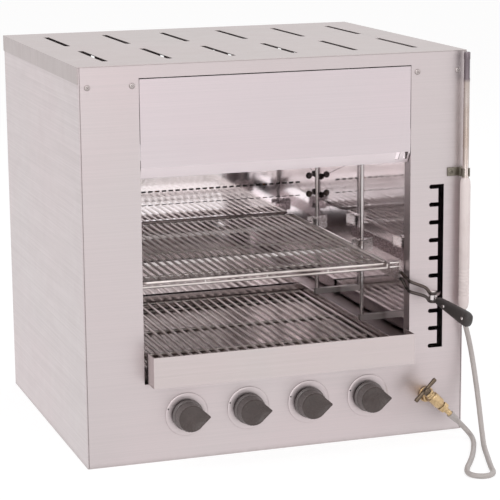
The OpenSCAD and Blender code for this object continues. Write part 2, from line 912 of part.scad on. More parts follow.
module gas_inlet() {
    color([0.80, 0.65, 0.35])
        difference() {
            union() {
                tube_y(
                    inlet_x, manifold_y - tee_half, manifold_y + tee_half, knob_z,
                    manifold_r + tee_wall
                );
                tube_y(inlet_x, manifold_y + tee_half, rear_y, knob_z, inlet_r - inlet_step);
                tube_y(inlet_x, rear_y, rear_y + inlet_len, knob_z, inlet_r);
            }
            tube_y(
                inlet_x, manifold_y - tee_half + outlet_len, rear_y + inlet_len + 1, knob_z,
                inlet_r - pipe_wall
            );
        }
}

module tap_body(i) {
    x = knob_x[i];
    color([0.80, 0.65, 0.35])
        difference() {
            union() {
                block(
                    [x - tap_w / 2, tap_front_y, knob_z - tap_w / 2],
                    [x + tap_w / 2, tap_rear_y, knob_z + tap_w / 2]
                );
                tube_y(x, tap_rear_y - 1, manifold_y, knob_z, outlet_r);
            }
            manifold_bar(manifold_r);
            tube_y(x, tap_front_y - 1, tap_front_y + chamber_len, knob_z, collar_r + stem_fit);
            tube_y(x, tap_front_y - 1, tap_rear_y - stem_end_gap, knob_z, stem_r + stem_fit);
        }
}

module tap_collar(i) {
    x = knob_x[i];
    y0 = tap_front_y + chamber_gap;
    color([0.75, 0.75, 0.74])
        difference() {
            tube_y(x, y0, y0 + collar_len, knob_z, collar_r - stem_fit);
            tube_y(x, y0 - 1, y0 + collar_len + 1, knob_z, stem_r + stem_fit);
        }
}

module tap_stem(i) {
    x = knob_x[i];
    color([0.80, 0.65, 0.35]) {
        tube_y(
            x, front_y - bezel_t - knob_gap - knob_depth + knob_front_wall,
            tap_rear_y - 2 * stem_end_gap, knob_z, stem_r
        );
        tube_y(x, tap_front_y, tap_front_y + chamber_gap - 0.1, knob_z, collar_r - 1.5);
    }
}

// Round knob with a pointer, its pointer to the right at rest
module knob(i) {
    back = front_y - bezel_t - knob_gap;
    root = knob_r * [cos(knob_pointer_angle), sin(knob_pointer_angle)] - [1, 1];
    color([0.20, 0.17, 0.17])
        difference() {
            translate([knob_x[i], back, knob_z])
                rotate([90, 0, 0]) {
                    cylinder(r1 = knob_r, r2 = knob_r - 2, h = knob_depth, $fn = 64);
                    linear_extrude(knob_depth - knob_front_wall + 1)
                        polygon([root, [knob_tip, 0], [root.x, -root.y]]);
                }
            tube_y(
                knob_x[i], back - knob_depth + knob_front_wall, back + 1, knob_z,
                stem_r + stem_fit
            );
        }
}

module knob_bezels() {
    color([0.88, 0.87, 0.87])
        for (x = knob_x)
            difference() {
                tube_y(x, front_y - bezel_t, front_y, knob_z, bezel_r);
                tube_y(x, front_y - bezel_t - 1, front_y + 1, knob_z, stem_hole_r);
            }
}

module guide_rod(y) {
    color([0.55, 0.54, 0.55])
        translate([rod_x, y, rod_foot_z])
            cylinder(r = rod_r, h = roof_z - rod_foot_z, $fn = 48);
}

module front_guide_rod() {
    guide_rod(rod_y[0]);
}

module rear_guide_rod() {
    guide_rod(rod_y[1]);
}

// Drilled brackets: the upper ones hang from the roof, the lower ones stand
// out from the right wall, above the tray
module rod_brackets() {
    half = bracket_w / 2;
    color([0.70, 0.69, 0.69])
        for (y = rod_y)
            difference() {
                union() {
                    block(
                        [rod_x - half, y - half, roof_z - bracket_h],
                        [rod_x + half, y + half, roof_z]
                    );
                    block(
                        [rod_x - half, y - half, rod_foot_z],
                        [cav_half, y + half, rod_foot_z + rod_foot_h]
                    );
                }
                translate([rod_x, y, rod_foot_z - 1])
                    cylinder(r = rod_r + 0.02, h = roof_z - rod_foot_z + 2, $fn = 48);
            }
}

// Guide at one rod: an upright plate behind the rod, which also reaches over
// the rack's side, and a drilled tab at its top and at its bottom
module rod_guide(y) {
    plate_y = y + guide_tab / 2;
    difference() {
        union() {
            block(
                [rod_x - guide_left, plate_y, rack_top_z + guide_gap],
                [rod_x + guide_right, plate_y + guide_t, guide_high_z]
            );
            block(
                [rod_x - rod_r - bar_t, plate_y, guide_low_z],
                [rod_x + guide_right, plate_y + guide_t, guide_high_z]
            );
            for (z = [guide_low_z, guide_high_z - guide_t])
                block(
                    [rod_x - rod_r - bar_t, y - guide_tab / 2, z],
                    [bar_x + bar_t, plate_y, z + guide_t]
                );
        }
        translate([rod_x, y, guide_low_z - 1])
            cylinder(r = rod_r + rod_fit, h = guide_h + 2, $fn = 48);
    }
}

// Flat arm under the rack, thicker where it leaves the bar
module rack_arm(y) {
    block(
        [rack_left_x + arm_end_gap, y, arm_top_z - arm_t],
        [bar_x + bar_t, y + arm_w, arm_top_z]
    );
    block(
        [rod_x - rod_r - bar_t, y, guide_low_z],
        [bar_x + bar_t, y + arm_w, arm_top_z]
    );
}

// Bar along the right side with its two guides, its two arms and the post
// whose pegs lie beside the rack's front bars
module rack_carriage() {
    color([0.72, 0.71, 0.71]) {
        block(
            [bar_x, rack_front_y, bar_low_z],
            [bar_x + bar_t, rod_y[1] + guide_tab / 2 + arm_w, bar_top_z]
        );
        block(
            [bar_x, rack_front_y, bar_low_z],
            [bar_x + bar_t, rack_front_y + post_d, rack_top_z]
        );
        for (z = [rack_z, rack_z - rack_bar_drop])
            translate([rack_right_x + 0.5, rack_front_y + rack_wire_r, z])
                rotate([0, 90, 0])
                    cylinder(r = rack_wire_r, h = bar_x - rack_right_x, $fn = 32);
        for (y = rod_y) {
            rod_guide(y);
            rack_arm(y + guide_tab / 2);
        }
    }
}

// Prong from the front end of the bar round the edge of the opening
module prong(z_root, z_bend, z_eye) {
    root = [bar_x + bar_t / 2, rack_front_y, z_root];
    bend_x = open_half - prong_r - prong_clear;
    bent_rod([
        root, root - [0, prong_root, 0],
        [bend_x, front_y + 2, z_bend],
        [bend_x, front_y - prong_out, z_bend - 2],
        [pivot.x - 2 * hub_r, pivot.y + 2, z_eye + 8],
        [pivot.x - hub_r + 1.5, pivot.y, z_eye]
    ], prong_r);
}

module fork_eye(z) {
    translate([pivot.x, pivot.y, z])
        cylinder(r = hub_r, h = eye_t, $fn = 48);
}

module carriage_fork() {
    upper = pivot.z + hub_h / 2 + hub_play;
    lower = pivot.z - hub_h / 2 - hub_play - eye_t;
    color([0.30, 0.28, 0.28])
        difference() {
            union() {
                fork_eye(upper);
                fork_eye(lower);
                prong(bar_top_z - prong_drop, upper + 21, upper + eye_t / 2 + 1);
                prong(bar_top_z - prong_drop - prong_pitch, lower + 18, lower + eye_t / 2);
            }
            translate([pivot.x, pivot.y, lower - 10])
                cylinder(r = pin_r + 0.01, h = 40, $fn = 48);
            translate([pivot.x, pivot.y, upper + eye_t])
                cylinder(r = pin_head_r + 0.3, h = 12, $fn = 48);
            block(
                [pivot.x - hub_r - 2, pivot.y - 12, pivot.z - hub_h / 2 - hub_play],
                [pivot.x + hub_r + 2, pivot.y + 12, pivot.z + hub_h / 2 + hub_play]
            );
        }
}

module lever_pin() {
    reach = hub_h / 2 + hub_play + eye_t;
    color([0.75, 0.75, 0.74]) {
        translate([pivot.x, pivot.y, pivot.z - reach])
            cylinder(r = pin_r, h = 2 * reach + 1, $fn = 48);
        translate([pivot.x, pivot.y, pivot.z + reach])
            cylinder(r = pin_head_r, h = 2, $fn = 48);
    }
}

// Hub, tongue and the steel strip that the grip is moulded on
module lever_arm() {
    dir = grip_end - pivot;
    color([0.72, 0.71, 0.71])
        difference() {
            union() {
                translate([pivot.x, pivot.y, pivot.z - hub_h / 2])
                    cylinder(r = hub_r, h = hub_h, $fn = 48);
                translate(pivot)
                    rotate([0, 0, tongue_angle])
                        translate([0, -tongue_w / 2, -tongue_h / 2])
                            cube([tongue_len, tongue_w, tongue_h]);
                translate(pivot)
                    rotate([0, 0, grip_angle])
                        rotate([0, asin(grip_drop / norm(dir)), 0])
                            translate([0, -strip_t / 2, -3.5])
                                cube([norm(dir) - 2, strip_t, 7]);
            }
            translate([pivot.x, pivot.y, pivot.z - hub_h])
                cylinder(r = pin_r + pin_fit, h = 2 * hub_h, $fn = 48);
            for (z = [-hub_h / 2 - eye_t, hub_h / 2])
                translate([pivot.x, pivot.y, pivot.z + z])
                    cylinder(r = hub_r + hub_play, h = eye_t, $fn = 48);
        }
}

// Tapered grip with a rounded end
module lever_grip() {
    dir = grip_end - pivot;
    reach = norm(dir);
    start = hub_r + 2;
    color([0.13, 0.12, 0.12])
        difference() {
            translate(pivot)
                rotate([0, 0, grip_angle])
                    rotate([0, asin(grip_drop / reach), 0])
                        rotate([90, 0, 0])
                            intersection() {
                                translate([0, 0, -grip_t / 2])
                                    linear_extrude(grip_t)
                                        hull() {
                                            translate([start + grip_root_r, 0])
                                                circle(r = grip_root_r, $fn = 32);
                                            translate([reach - grip_end_r + 3, 0])
                                                circle(r = grip_end_r, $fn = 32);
                                        }
                                translate([start, -grip_end_r - 1, -grip_t])
                                    cube([reach, 2 * grip_end_r + 2, 2 * grip_t]);
                            }
            translate(pivot)
                rotate([0, 0, grip_angle])
                    rotate([0, asin(grip_drop / reach), 0])
                        translate([0, -strip_t / 2 - 0.02, -3.52])
                            cube([reach - 1.98, strip_t + 0.04, 7.04]);
        }
}

// Wire shelf: a frame of bars with long wires from front to back
module upper_rack() {
    low = [rack_left_x, rack_front_y];
    high = [rack_right_x, rack_back_y];
    wire_low_z = rack_z - rack_wire_r;
    color([0.60, 0.59, 0.60]) {
        bar_lattice(
            low, high, rack_z + rack_wire_r, 2 * rack_frame_r, 2 * rack_wire_r,
            2 * rack_wire_r, rack_pitch
        );
        for (y = rack_cross_y)
            block(
                [low.x + 1, y - rack_wire_r, wire_low_z - 1.6 * rack_wire_r],
                [high.x - 1, y + rack_wire_r, wire_low_z + 0.4]
            );
        block(
            [low.x, low.y, rack_z - rack_bar_drop - rack_wire_r],
            [high.x, low.y + 2 * rack_wire_r, rack_z - rack_bar_drop + rack_wire_r]
        );
        for (x = [low.x, (low.x + high.x) / 2, high.x - 2 * rack_wire_r])
            block(
                [x, low.y, rack_z - rack_bar_drop],
                [x + 2 * rack_wire_r, low.y + 2 * rack_wire_r, rack_z]
            );
    }
}

// Outline of the tray in plan: the apron box is wider on the left than the pan
module tray_outline(t) {
    polygon([
        [apron_left_x + t, apron_y + t], [apron_right_x - t, apron_y + t],
        [apron_right_x - t, pan_back_y - t], [pan_left_x + t, pan_back_y - t],
        [pan_left_x + t, apron_back_y - t], [apron_left_x + t, apron_back_y - t]
    ]);
}

module drip_tray() {
    color([0.80, 0.78, 0.78])
        difference() {
            translate([0, 0, tray_z])
                linear_extrude(apron_h)
                    tray_outline(0);
            translate([0, 0, tray_z + tray_t])
                linear_extrude(apron_h)
                    tray_outline(tray_t);
            block(
                [-body_w / 2, apron_back_y, pan_top_z],
                [body_w / 2, pan_back_y + 1, tray_z + apron_h + 1]
            );
        }
}

// Bar grid that lies in the tray on its bars across
module lower_grid() {
    bar_w = 2 * grid_bar_r;
    color([0.50, 0.48, 0.48]) {
        bar_lattice(grid_low, grid_high, grid_under_z + bar_w, bar_w, bar_w, bar_w, grid_pitch);
        for (y = grid_cross_y)
            block(
                [grid_low.x + 1, y - grid_bar_r, grid_under_z - grid_cross_h],
                [grid_high.x - 1, y + grid_bar_r, grid_under_z + 0.4]
            );
    }
}

module tray_runners() {
    color([0.70, 0.69, 0.69])
        for (x = [pan_left_x + 20, apron_right_x - 20 - runner_w])
            block(
                [x, front_in_y, floor_z],
                [x + runner_w, pan_back_y, tray_z - runner_play]
            );
}

module casing_screws() {
    color([0.66, 0.65, 0.65]) {
        for (p = front_screws)
            screw([p.x, front_y, p.y], 1);
        for (p = rear_screws)
            screw([p.x, rear_y, p.y], -1);
    }
}

// Bolts that join the cavity's walls at its rear corners
module liner_screws() {
    color([0.35, 0.33, 0.33])
        for (s = [-1, 1], z = bolt_z) {
            tube_y(s * (cav_half - bolt_in), back_y - bolt_head_h, back_y, z, bolt_r);
            tube_y(s * (cav_half - bolt_in), back_y - 1, back_y + 6, z, screw_r);
            translate([s * (cav_half - bolt_head_h), back_y - bolt_in, z])
                rotate([0, 90 * s, 0]) {
                    cylinder(r = bolt_r, h = bolt_head_h, $fn = 32);
                    cylinder(r = screw_r, h = bolt_head_h + 6, $fn = 24);
                }
        }
}

module torch_tube() {
    low = torch_low_z + torch_handle_len - 15;
    color([0.74, 0.73, 0.72])
        difference() {
            translate([torch_x, torch_y, low])
                cylinder(r = torch_tube_r, h = torch_top_z - low, $fn = 48);
            translate([torch_x, torch_y, low + 5])
                cylinder(r = torch_tube_r - 1, h = torch_top_z, $fn = 48);
        }
}

module torch_handle() {
    color([0.86, 0.80, 0.76])
        difference() {
            translate([torch_x, torch_y, torch_low_z])
                rotate_extrude($fn = 64)
                    polygon([
                        [0, 0], [torch_handle_r - 3, 0], [torch_handle_r - 1, 4],
                        [torch_handle_r, 12], [torch_handle_r, torch_handle_len - 10],
                        [torch_handle_r - 2, torch_handle_len], [0, torch_handle_len]
                    ]);
            translate([torch_x, torch_y, torch_low_z + torch_handle_len - 15])
                cylinder(r = torch_tube_r + 0.02, h = 20, $fn = 48);
        }
}

// Spring clip on the front plate that grips the torch's tube
module torch_clip() {
    r = torch_tube_r + 0.1;
    strap = [torch_x - r - clip_t - 0.9, torch_y + clip_t, clip_z];
    color([0.35, 0.32, 0.30])
        difference() {
            union() {
                translate([torch_x, torch_y, clip_z])
                    cylinder(r = r + clip_t, h = clip_h, $fn = 48);
                block(
                    [plate_half - clip_foot_w, front_y - clip_t, clip_z],
                    [plate_half, front_y, clip_z + clip_h]
                );
                block(strap, [strap.x + clip_t, front_y, clip_z + clip_h]);
                block(strap, [torch_x, strap.y + clip_t, clip_z + clip_h]);
            }
            translate([torch_x, torch_y, clip_z - 1])
                cylinder(r = r, h = clip_h + 2, $fn = 48);
            block(
                [torch_x - clip_mouth / 2, torch_y - 2 * r, clip_z - 1],
                [torch_x + clip_mouth / 2, torch_y, clip_z + clip_h + 1]
            );
        }
}

// Angle tap: the inlet comes from the front plate, the hose leaves down to
// the right and the T-handle turns on the other end of the same axis
module ttap_axis() {
    translate(ttap)
        rotate([0, 135, 0])
            children();
}

module torch_tap_body() {
    color([0.80, 0.65, 0.35])
        difference() {
            union() {
                ttap_axis() {
                    translate([0, 0, -15])
                        cylinder(r = ttap_r, h = 30, $fn = 48);
                    cylinder(r = 6, h = ttap_nozzle_len - 16, $fn = 6);
                    cylinder(r = hose_r - 0.5, h = ttap_nozzle_len - 6, $fn = 32);
                    translate([0, 0, ttap_nozzle_len - 14])
                        cylinder(r1 = 6, r2 = hose_r, h = 14, $fn = 32);
                }
                tube_y(ttap.x, ttap.y, manifold_y, ttap.z, ttap_pipe_r);
                tube_y(ttap.x, front_y - 5, front_y, ttap.z, 2 * ttap_pipe_r);
            }
            manifold_bar(manifold_r);
            ttap_axis()
                translate([0, 0, -16])
                    cylinder(r = ttap_stem_r + stem_fit, h = 16, $fn = 32);
        }
}

module torch_tap_handle() {
    color([0.25, 0.20, 0.18])
        ttap_axis() {
            translate([0, 0, -ttap_stem_len])
                cylinder(r = ttap_stem_r, h = ttap_stem_len - 1, $fn = 32);
            translate([0, 0, -ttap_stem_len])
                cylinder(r = 6, h = 9, $fn = 32);
            translate([-ttap_bar_len / 2, 0, -ttap_stem_len + 1])
                rotate([0, 90, 0])
                    cylinder(r = 3.6, h = ttap_bar_len, $fn = 32);
        }
}

// Ring of points round one point of the hose's route
function route_dir(i) =
    let (last = len(hose_route) - 1)
    let (v = i == 0 ? hose_route[1] - hose_route[0]
        : i == last ? hose_route[last] - hose_route[last - 1]
        : hose_route[i + 1] - hose_route[i - 1])
    v / norm(v);

function hose_ring(i) =
    let (d = route_dir(i))
    let (u = cross(hose_side, d) / norm(cross(hose_side, d)))
    let (w = cross(d, u))
    [for (k = [0:hose_sides - 1])
        hose_route[i] + hose_r * (cos(360 * k / hose_sides) * u + sin(360 * k / hose_sides) * w)];

module torch_hose() {
    rings = len(hose_route);
    color([0.80, 0.78, 0.76])
        polyhedron(
            points = [for (i = [0:rings - 1]) each hose_ring(i)],
            faces = [
                [for (k = [0:hose_sides - 1]) k],
                [for (k = [hose_sides - 1:-1:0]) (rings - 1) * hose_sides + k],
                for (i = [0:rings - 2], k = [0:hose_sides - 1])
                    let (a = i * hose_sides, b = a + hose_sides, n = (k + 1) % hose_sides)
                        each [[a + k, b + k, b + n], [a + k, b + n, a + n]]
            ]
        );
}

base_panel();
left_side_panel();
right_side_panel();
rear_panel();
top_cover();
front_plate();
hood_panel();
cavity_left_wall();
cavity_right_wall();
cavity_back_wall();
cavity_roof();
cavity_floor();
burner_housing(0);  // burner_housing_1
burner_housing(1);  // burner_housing_2
burner_housing(2);  // burner_housing_3
burner_housing(3);  // burner_housing_4
burner_plaques();
injectors();
burner_pipes();
gas_manifold();
gas_inlet();
tap_body(0);  // tap_body_1
tap_body(1);  // tap_body_2
tap_body(2);  // tap_body_3
tap_body(3);  // tap_body_4
tap_collar(0);  // tap_collar_1
tap_collar(1);  // tap_collar_2
tap_collar(2);  // tap_collar_3
tap_collar(3);  // tap_collar_4
tap_stem(0);  // tap_stem_1
tap_stem(1);  // tap_stem_2
tap_stem(2);  // tap_stem_3
tap_stem(3);  // tap_stem_4
knob(0);  // knob_1
knob(1);  // knob_2
knob(2);  // knob_3
knob(3);  // knob_4
knob_bezels();
front_guide_rod();
rear_guide_rod();
rod_brackets();
rack_carriage();
carriage_fork();
lever_pin();
upper_rack();
lever_arm();
lever_grip();
drip_tray();
lower_grid();
tray_runners();
casing_screws();
liner_screws();
torch_tube();
torch_handle();
torch_hose();
torch_clip();
torch_tap_body();
torch_tap_handle();
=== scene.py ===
"""Looks of a gas salamander grill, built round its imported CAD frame. Lengths are in metres."""

import json
import math
import random

import bmesh
import bpy
from mathutils import Matrix, Vector


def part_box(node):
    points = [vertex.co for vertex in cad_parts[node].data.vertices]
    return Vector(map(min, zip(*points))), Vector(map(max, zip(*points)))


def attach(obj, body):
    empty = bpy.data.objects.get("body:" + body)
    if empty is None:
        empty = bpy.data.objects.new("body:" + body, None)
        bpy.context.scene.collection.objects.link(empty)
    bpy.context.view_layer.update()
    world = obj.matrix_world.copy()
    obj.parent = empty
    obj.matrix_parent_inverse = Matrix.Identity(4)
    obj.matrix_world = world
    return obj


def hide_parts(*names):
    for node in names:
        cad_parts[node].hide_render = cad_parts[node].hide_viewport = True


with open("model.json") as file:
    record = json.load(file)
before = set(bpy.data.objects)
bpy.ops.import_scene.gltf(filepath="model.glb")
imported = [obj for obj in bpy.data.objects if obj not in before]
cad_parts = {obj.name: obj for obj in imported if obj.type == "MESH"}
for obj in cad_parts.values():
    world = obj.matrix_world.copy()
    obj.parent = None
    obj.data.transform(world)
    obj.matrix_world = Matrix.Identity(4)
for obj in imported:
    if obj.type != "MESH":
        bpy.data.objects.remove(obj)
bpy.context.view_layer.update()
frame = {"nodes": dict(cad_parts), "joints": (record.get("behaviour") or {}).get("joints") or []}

MM = 0.001
X, Y, Z = Vector((1, 0, 0)), Vector((0, 1, 0)), Vector((0, 0, 1))
scene = bpy.context.scene
joints = {joint["name"]: joint for joint in frame["joints"]}
rng = random.Random(7)


# Camera: fitted to the corners of the casing in the photograph
IMAGE_WIDTH_PX = 500
FOCAL_PX = 1970
SENSOR_MM = 36
CAMERA_PLACE = Vector((-0.955, -2.937, 0.902))
CAMERA_YAW, CAMERA_PITCH, CAMERA_ROLL = (math.radians(a) for a in (18.7, 11.8, -0.49))


def make_camera():
    forward = Vector((
        math.sin(CAMERA_YAW) * math.cos(CAMERA_PITCH),
        math.cos(CAMERA_YAW) * math.cos(CAMERA_PITCH),
        -math.sin(CAMERA_PITCH),
    ))
    level = Vector((math.cos(CAMERA_YAW), -math.sin(CAMERA_YAW), 0))
    above = level.cross(forward)
    right = math.cos(CAMERA_ROLL) * level + math.sin(CAMERA_ROLL) * above
    up = math.cos(CAMERA_ROLL) * above - math.sin(CAMERA_ROLL) * level
    data = bpy.data.cameras.new("camera")
    data.sensor_width = SENSOR_MM
    data.lens = FOCAL_PX / IMAGE_WIDTH_PX * SENSOR_MM
    data.clip_start, data.clip_end = 0.05, 50
    camera = bpy.data.objects.new("camera", data)
    camera.matrix_world = Matrix.Translation(CAMERA_PLACE) @ Matrix((right, up, -forward)).transposed().to_4x4()
    scene.collection.objects.link(camera)
    scene.camera = camera


make_camera()


# Materials

class Shader:
    """A Principled material with its texture nodes; coordinates are metres in the object's frame."""

    def __init__(self, name, colour, metallic=0.0, roughness=0.5, **sockets):
        self.material = bpy.data.materials.new(name)
        self.material.use_nodes = True
        self.tree = self.material.node_tree
        self.bsdf = self.tree.nodes["Principled BSDF"]
        self.colour, self.roughness = colour, roughness
        self.bsdf.inputs["Base Color"].default_value = (*colour, 1)
        self.bsdf.inputs["Metallic"].default_value = metallic
        self.bsdf.inputs["Roughness"].default_value = roughness
        for socket, value in sockets.items():
            self.bsdf.inputs[socket.replace("_", " ")].default_value = value
        self.place = self.tree.nodes.new("ShaderNodeTexCoord").outputs["Object"]
        self.height = None

    def node(self, kind, inputs=(), **settings):
        made = self.tree.nodes.new(kind)
        for key, value in settings.items():
            setattr(made, key, value)
        for socket, value in dict(inputs).items():
            if isinstance(value, bpy.types.NodeSocket):
                self.tree.links.new(value, made.inputs[socket])
            else:
                made.inputs[socket].default_value = value
        return made

    def noise(self, scale, stretch=(1, 1, 1), detail=3.0, distortion=0.0, offset=(0, 0, 0)):
        place = self.node("ShaderNodeMapping", {"Vector": self.place, "Scale": stretch, "Location": offset})
        return self.node("ShaderNodeTexNoise", {
            "Vector": place.outputs[0], "Scale": scale, "Detail": detail, "Distortion": distortion,
        }).outputs["Fac"]

    def span(self, value, low, high, to_low=0.0, to_high=1.0):
        """value from low to high, spread over to_low to to_high and held there."""
        return self.node("ShaderNodeMapRange", {
            "Value": value, "From Min": low, "From Max": high, "To Min": to_low, "To Max": to_high,
        }).outputs["Result"]

    def math(self, operation, a, b):
        return self.node("ShaderNodeMath", {0: a, 1: b}, operation=operation).outputs[0]

    def tint(self, factor, colour):
        """Mixes another colour over the base colour by factor."""
        base = self.bsdf.inputs["Base Color"]
        under = base.links[0].from_socket if base.is_linked else (*self.colour, 1)
        mix = self.node("ShaderNodeMix", {0: factor, 6: under, 7: (*colour, 1)}, data_type="RGBA")
        self.tree.links.new(mix.outputs[2], base)

    def rough(self, value, low, high):
        """Roughness that follows value, added to what already drives it."""
        spread = self.span(value, 0.3, 0.7, low, high)
        socket = self.bsdf.inputs["Roughness"]
        if socket.is_linked:
            spread = self.math("ADD", socket.links[0].from_socket, spread)
        else:
            spread = self.math("ADD", spread, self.roughness)
        self.tree.links.new(spread, socket)

    def bump(self, height, depth, strength=1.0):
        """Height in metres times depth; a second call adds to the first."""
        scaled = self.math("MULTIPLY", height, strength)
        self.height = scaled if self.height is None else self.math("ADD", self.height, scaled)
        normal = self.bsdf.inputs["Normal"]
        if normal.is_linked:
            bump = normal.links[0].from_node
            self.tree.links.new(self.height, bump.inputs["Height"])
        else:
            bump = self.node("ShaderNodeBump", {"Height": self.height, "Distance": depth, "Strength": 1.0})
            self.tree.links.new(bump.outputs[0], normal)

    def soften_edges(self, radius):
        """Rounds sharp edges in the shading; it comes after bump()."""
        bevel = self.node("ShaderNodeBevel", {"Radius": radius}, samples=4)
        bump = self.bsdf.inputs["Normal"].links[0].from_node
        self.tree.links.new(bevel.outputs[0], bump.inputs["Normal"])

    def above(self, axis, level, soft):
        """0 below the level and 1 above it along an axis of the object."""
        split = self.node("ShaderNodeSeparateXYZ", {0: self.place})
        return self.span(split.outputs[axis], level - soft, level + soft)

    def grime(self, distance, low, amount, colour):
        """Painted shade and dirt where surfaces meet: the colour darkens with ambient occlusion, in patches."""
        shade = self.node("ShaderNodeAmbientOcclusion", {"Distance": distance}, samples=8).outputs["AO"]
        patchy = self.noise(60, detail=2)
        factor = self.math("MULTIPLY", self.span(shade, low, 1.0, amount, 0.0), self.span(patchy, 0.3, 0.6, 0.5, 1.0))
        self.tint(factor, colour)


def sheet_shader(name, colour, roughness, grain, grime=0.35, haze=0.05, edge=0.0, relief=0.25):
    """Brushed stainless sheet: fine streaks along the grain, clouded patches and hand marks."""
    s = Shader(name, colour, metallic=1.0, roughness=roughness)
    clouds = s.noise(3.2, detail=2, distortion=0.6)
    s.tint(s.span(clouds, 0.35, 0.65, 0, 0.7), [c * k for c, k in zip(colour, (1.035, 0.975, 0.99))])
    streaks = s.noise(1.0, stretch=grain, detail=4)
    s.tint(s.span(streaks, 0.35, 0.65, 0, 0.5), [c * 0.93 for c in colour])
    marks = s.noise(22, detail=4, distortion=1.2)
    s.rough(streaks, -0.16 * relief, 0.2 * relief)
    s.rough(marks, 0, haze)
    s.bump(streaks, 0.0004, relief)
    s.bump(s.noise(7, detail=1), 0.0004, 1.0)
    # Painted shade: the colour darkens by ambient occlusion where surfaces meet, partly as dirt.
    s.grime(0.008, 0.45, grime, (0.20, 0.17, 0.16))
    if edge:
        s.soften_edges(edge)
    return s


def sheet_steel(*args, **settings):
    return sheet_shader(*args, **settings).material


def bar_shader(name, colour, roughness, heat=(0.30, 0.22, 0.17), stain=0.5):
    """Wire and bar, with brown heat stain in patches and a fine pitted surface."""
    s = Shader(name, colour, metallic=1.0, roughness=roughness)
    s.tint(s.span(s.noise(14, detail=4, distortion=1), 0.42, 0.75, 0, stain), heat)
    fine = s.noise(420, detail=3)
    s.rough(fine, -0.05, 0.1)
    s.bump(fine, 0.0002, 0.5)
    return s


def bar_steel(*args, **settings):
    return bar_shader(*args, **settings).material


def plastic(name, colour, roughness, worn, depth=0.00015, scale=900, **sockets):
    """Moulded plastic with a fine skin, faint patches and a paler worn bloom."""
    s = Shader(name, colour, roughness=roughness, **sockets)
    s.tint(s.span(s.noise(35, detail=5, distortion=1), 0.45, 0.8, 0, 0.35), worn)
    skin = s.noise(scale, detail=2)
    s.rough(s.noise(60, detail=3), -0.05, 0.12)
    s.bump(skin, depth, 1.0)
    return s.material


def brass(name, colour, roughness=0.28, tarnish=(0.16, 0.10, 0.05)):
    s = Shader(name, colour, metallic=1.0, roughness=roughness)
    s.tint(s.span(s.noise(90, detail=5, distortion=1.5), 0.45, 0.75, 0, 0.6), tarnish)
    s.rough(s.noise(130, detail=3), -0.05, 0.2)
    s.bump(s.noise(700, detail=2), 0.0002, 0.6)
    # Painted shade where the brass parts meet, from ambient occlusion, together with tarnish in the hollows.
    s.grime(0.003, 0.5, 0.8, (0.05, 0.035, 0.02))
    return s.material


def perforated_ceramic(name):
    """Ceramic burner plaque with rows of small holes, painted near black as shade inside them."""
    pitch = 3.4 * MM
    s = Shader(name, (0.74, 0.66, 0.56), roughness=0.85)
    cells = s.node("ShaderNodeTexVoronoi", {
        "Vector": s.place, "Scale": 1 / pitch, "Randomness": 0.0,
    }, feature="F1")
    hole = s.span(cells.outputs["Distance"], 0.22, 0.30, 1, 0)
    s.tint(s.span(s.noise(30, detail=4), 0.4, 0.7, 0, 0.5), (0.45, 0.34, 0.26))
    # Painted shade: the holes are coloured near black.
    s.tint(hole, (0.03, 0.02, 0.015))
    s.bump(hole, 0.002, -1.0)
    return s.material


def hood_steel_painted_light(name, colour):
    """Casing sheet with painted light and shade: paler below the bend, and darker on every face that doesn't face the
    front.
    """
    s = sheet_shader(name, colour, 0.36, FRONT_GRAIN)
    bend_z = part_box("hood_panel")[0].z + HOOD_BEND_H
    # Painted light: the lip below the bend is made 1.38 times paler.
    s.tint(s.math("SUBTRACT", 1.0, s.above("Z", bend_z, 0.5 * MM)), [c * 1.38 for c in colour])
    # Painted shade: faces turned away from the front, such as the insides of the slits, are darkened.
    way = s.node("ShaderNodeSeparateXYZ", {0: s.node("ShaderNodeNewGeometry").outputs["Normal"]})
    s.tint(s.span(way.outputs["Y"], -0.6, -0.2), (0.10, 0.08, 0.08))
    return s.material


def lance_steel(name):
    """Tube that the flame has stained dark at its end."""
    s = bar_shader(name, (0.47, 0.41, 0.385), 0.30, stain=0.6)
    s.tint(s.above("Z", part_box("torch_tube")[1].z - 43 * MM, 3 * MM), (0.17, 0.14, 0.155))
    return s.material


def used_tray_steel(name, colour):
    """Smooth sheet with burnt fat on the bottom of the pan."""
    s = sheet_shader(name, colour, 0.15, FRONT_GRAIN, haze=0.10, relief=0.06)
    behind_apron = s.above("Y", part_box("drip_tray")[0].y + 4 * MM, 0.5 * MM)
    up_the_sides = s.above("Z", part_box("lower_grid")[0].z + 1.5 * MM, MM)
    inside = s.math("MULTIPLY", behind_apron, s.math("SUBTRACT", 1.0, up_the_sides))
    patches = s.span(s.noise(26, detail=5, distortion=1.5), 0.36, 0.62, 0.35, 0.95)
    s.tint(s.math("MULTIPLY", inside, patches), (0.22, 0.175, 0.16))
    return s.material


HOOD_BEND_H = 17 * MM
FRONT_GRAIN = (5, 5, 650)
TOP_GRAIN = (5, 650, 5)
SIDE_GRAIN = (650, 650, 5)
steel = (0.545, 0.489, 0.493)

casing = sheet_steel("casing_steel", steel, 0.36, FRONT_GRAIN)
casing_front = sheet_steel("casing_steel_front", steel, 0.36, FRONT_GRAIN, edge=0.4 * MM)
# Painted light: the hood is a paler copy of the casing steel.
casing_hood_painted_light = hood_steel_painted_light("casing_steel_hood_painted_light", (0.585, 0.522, 0.540))
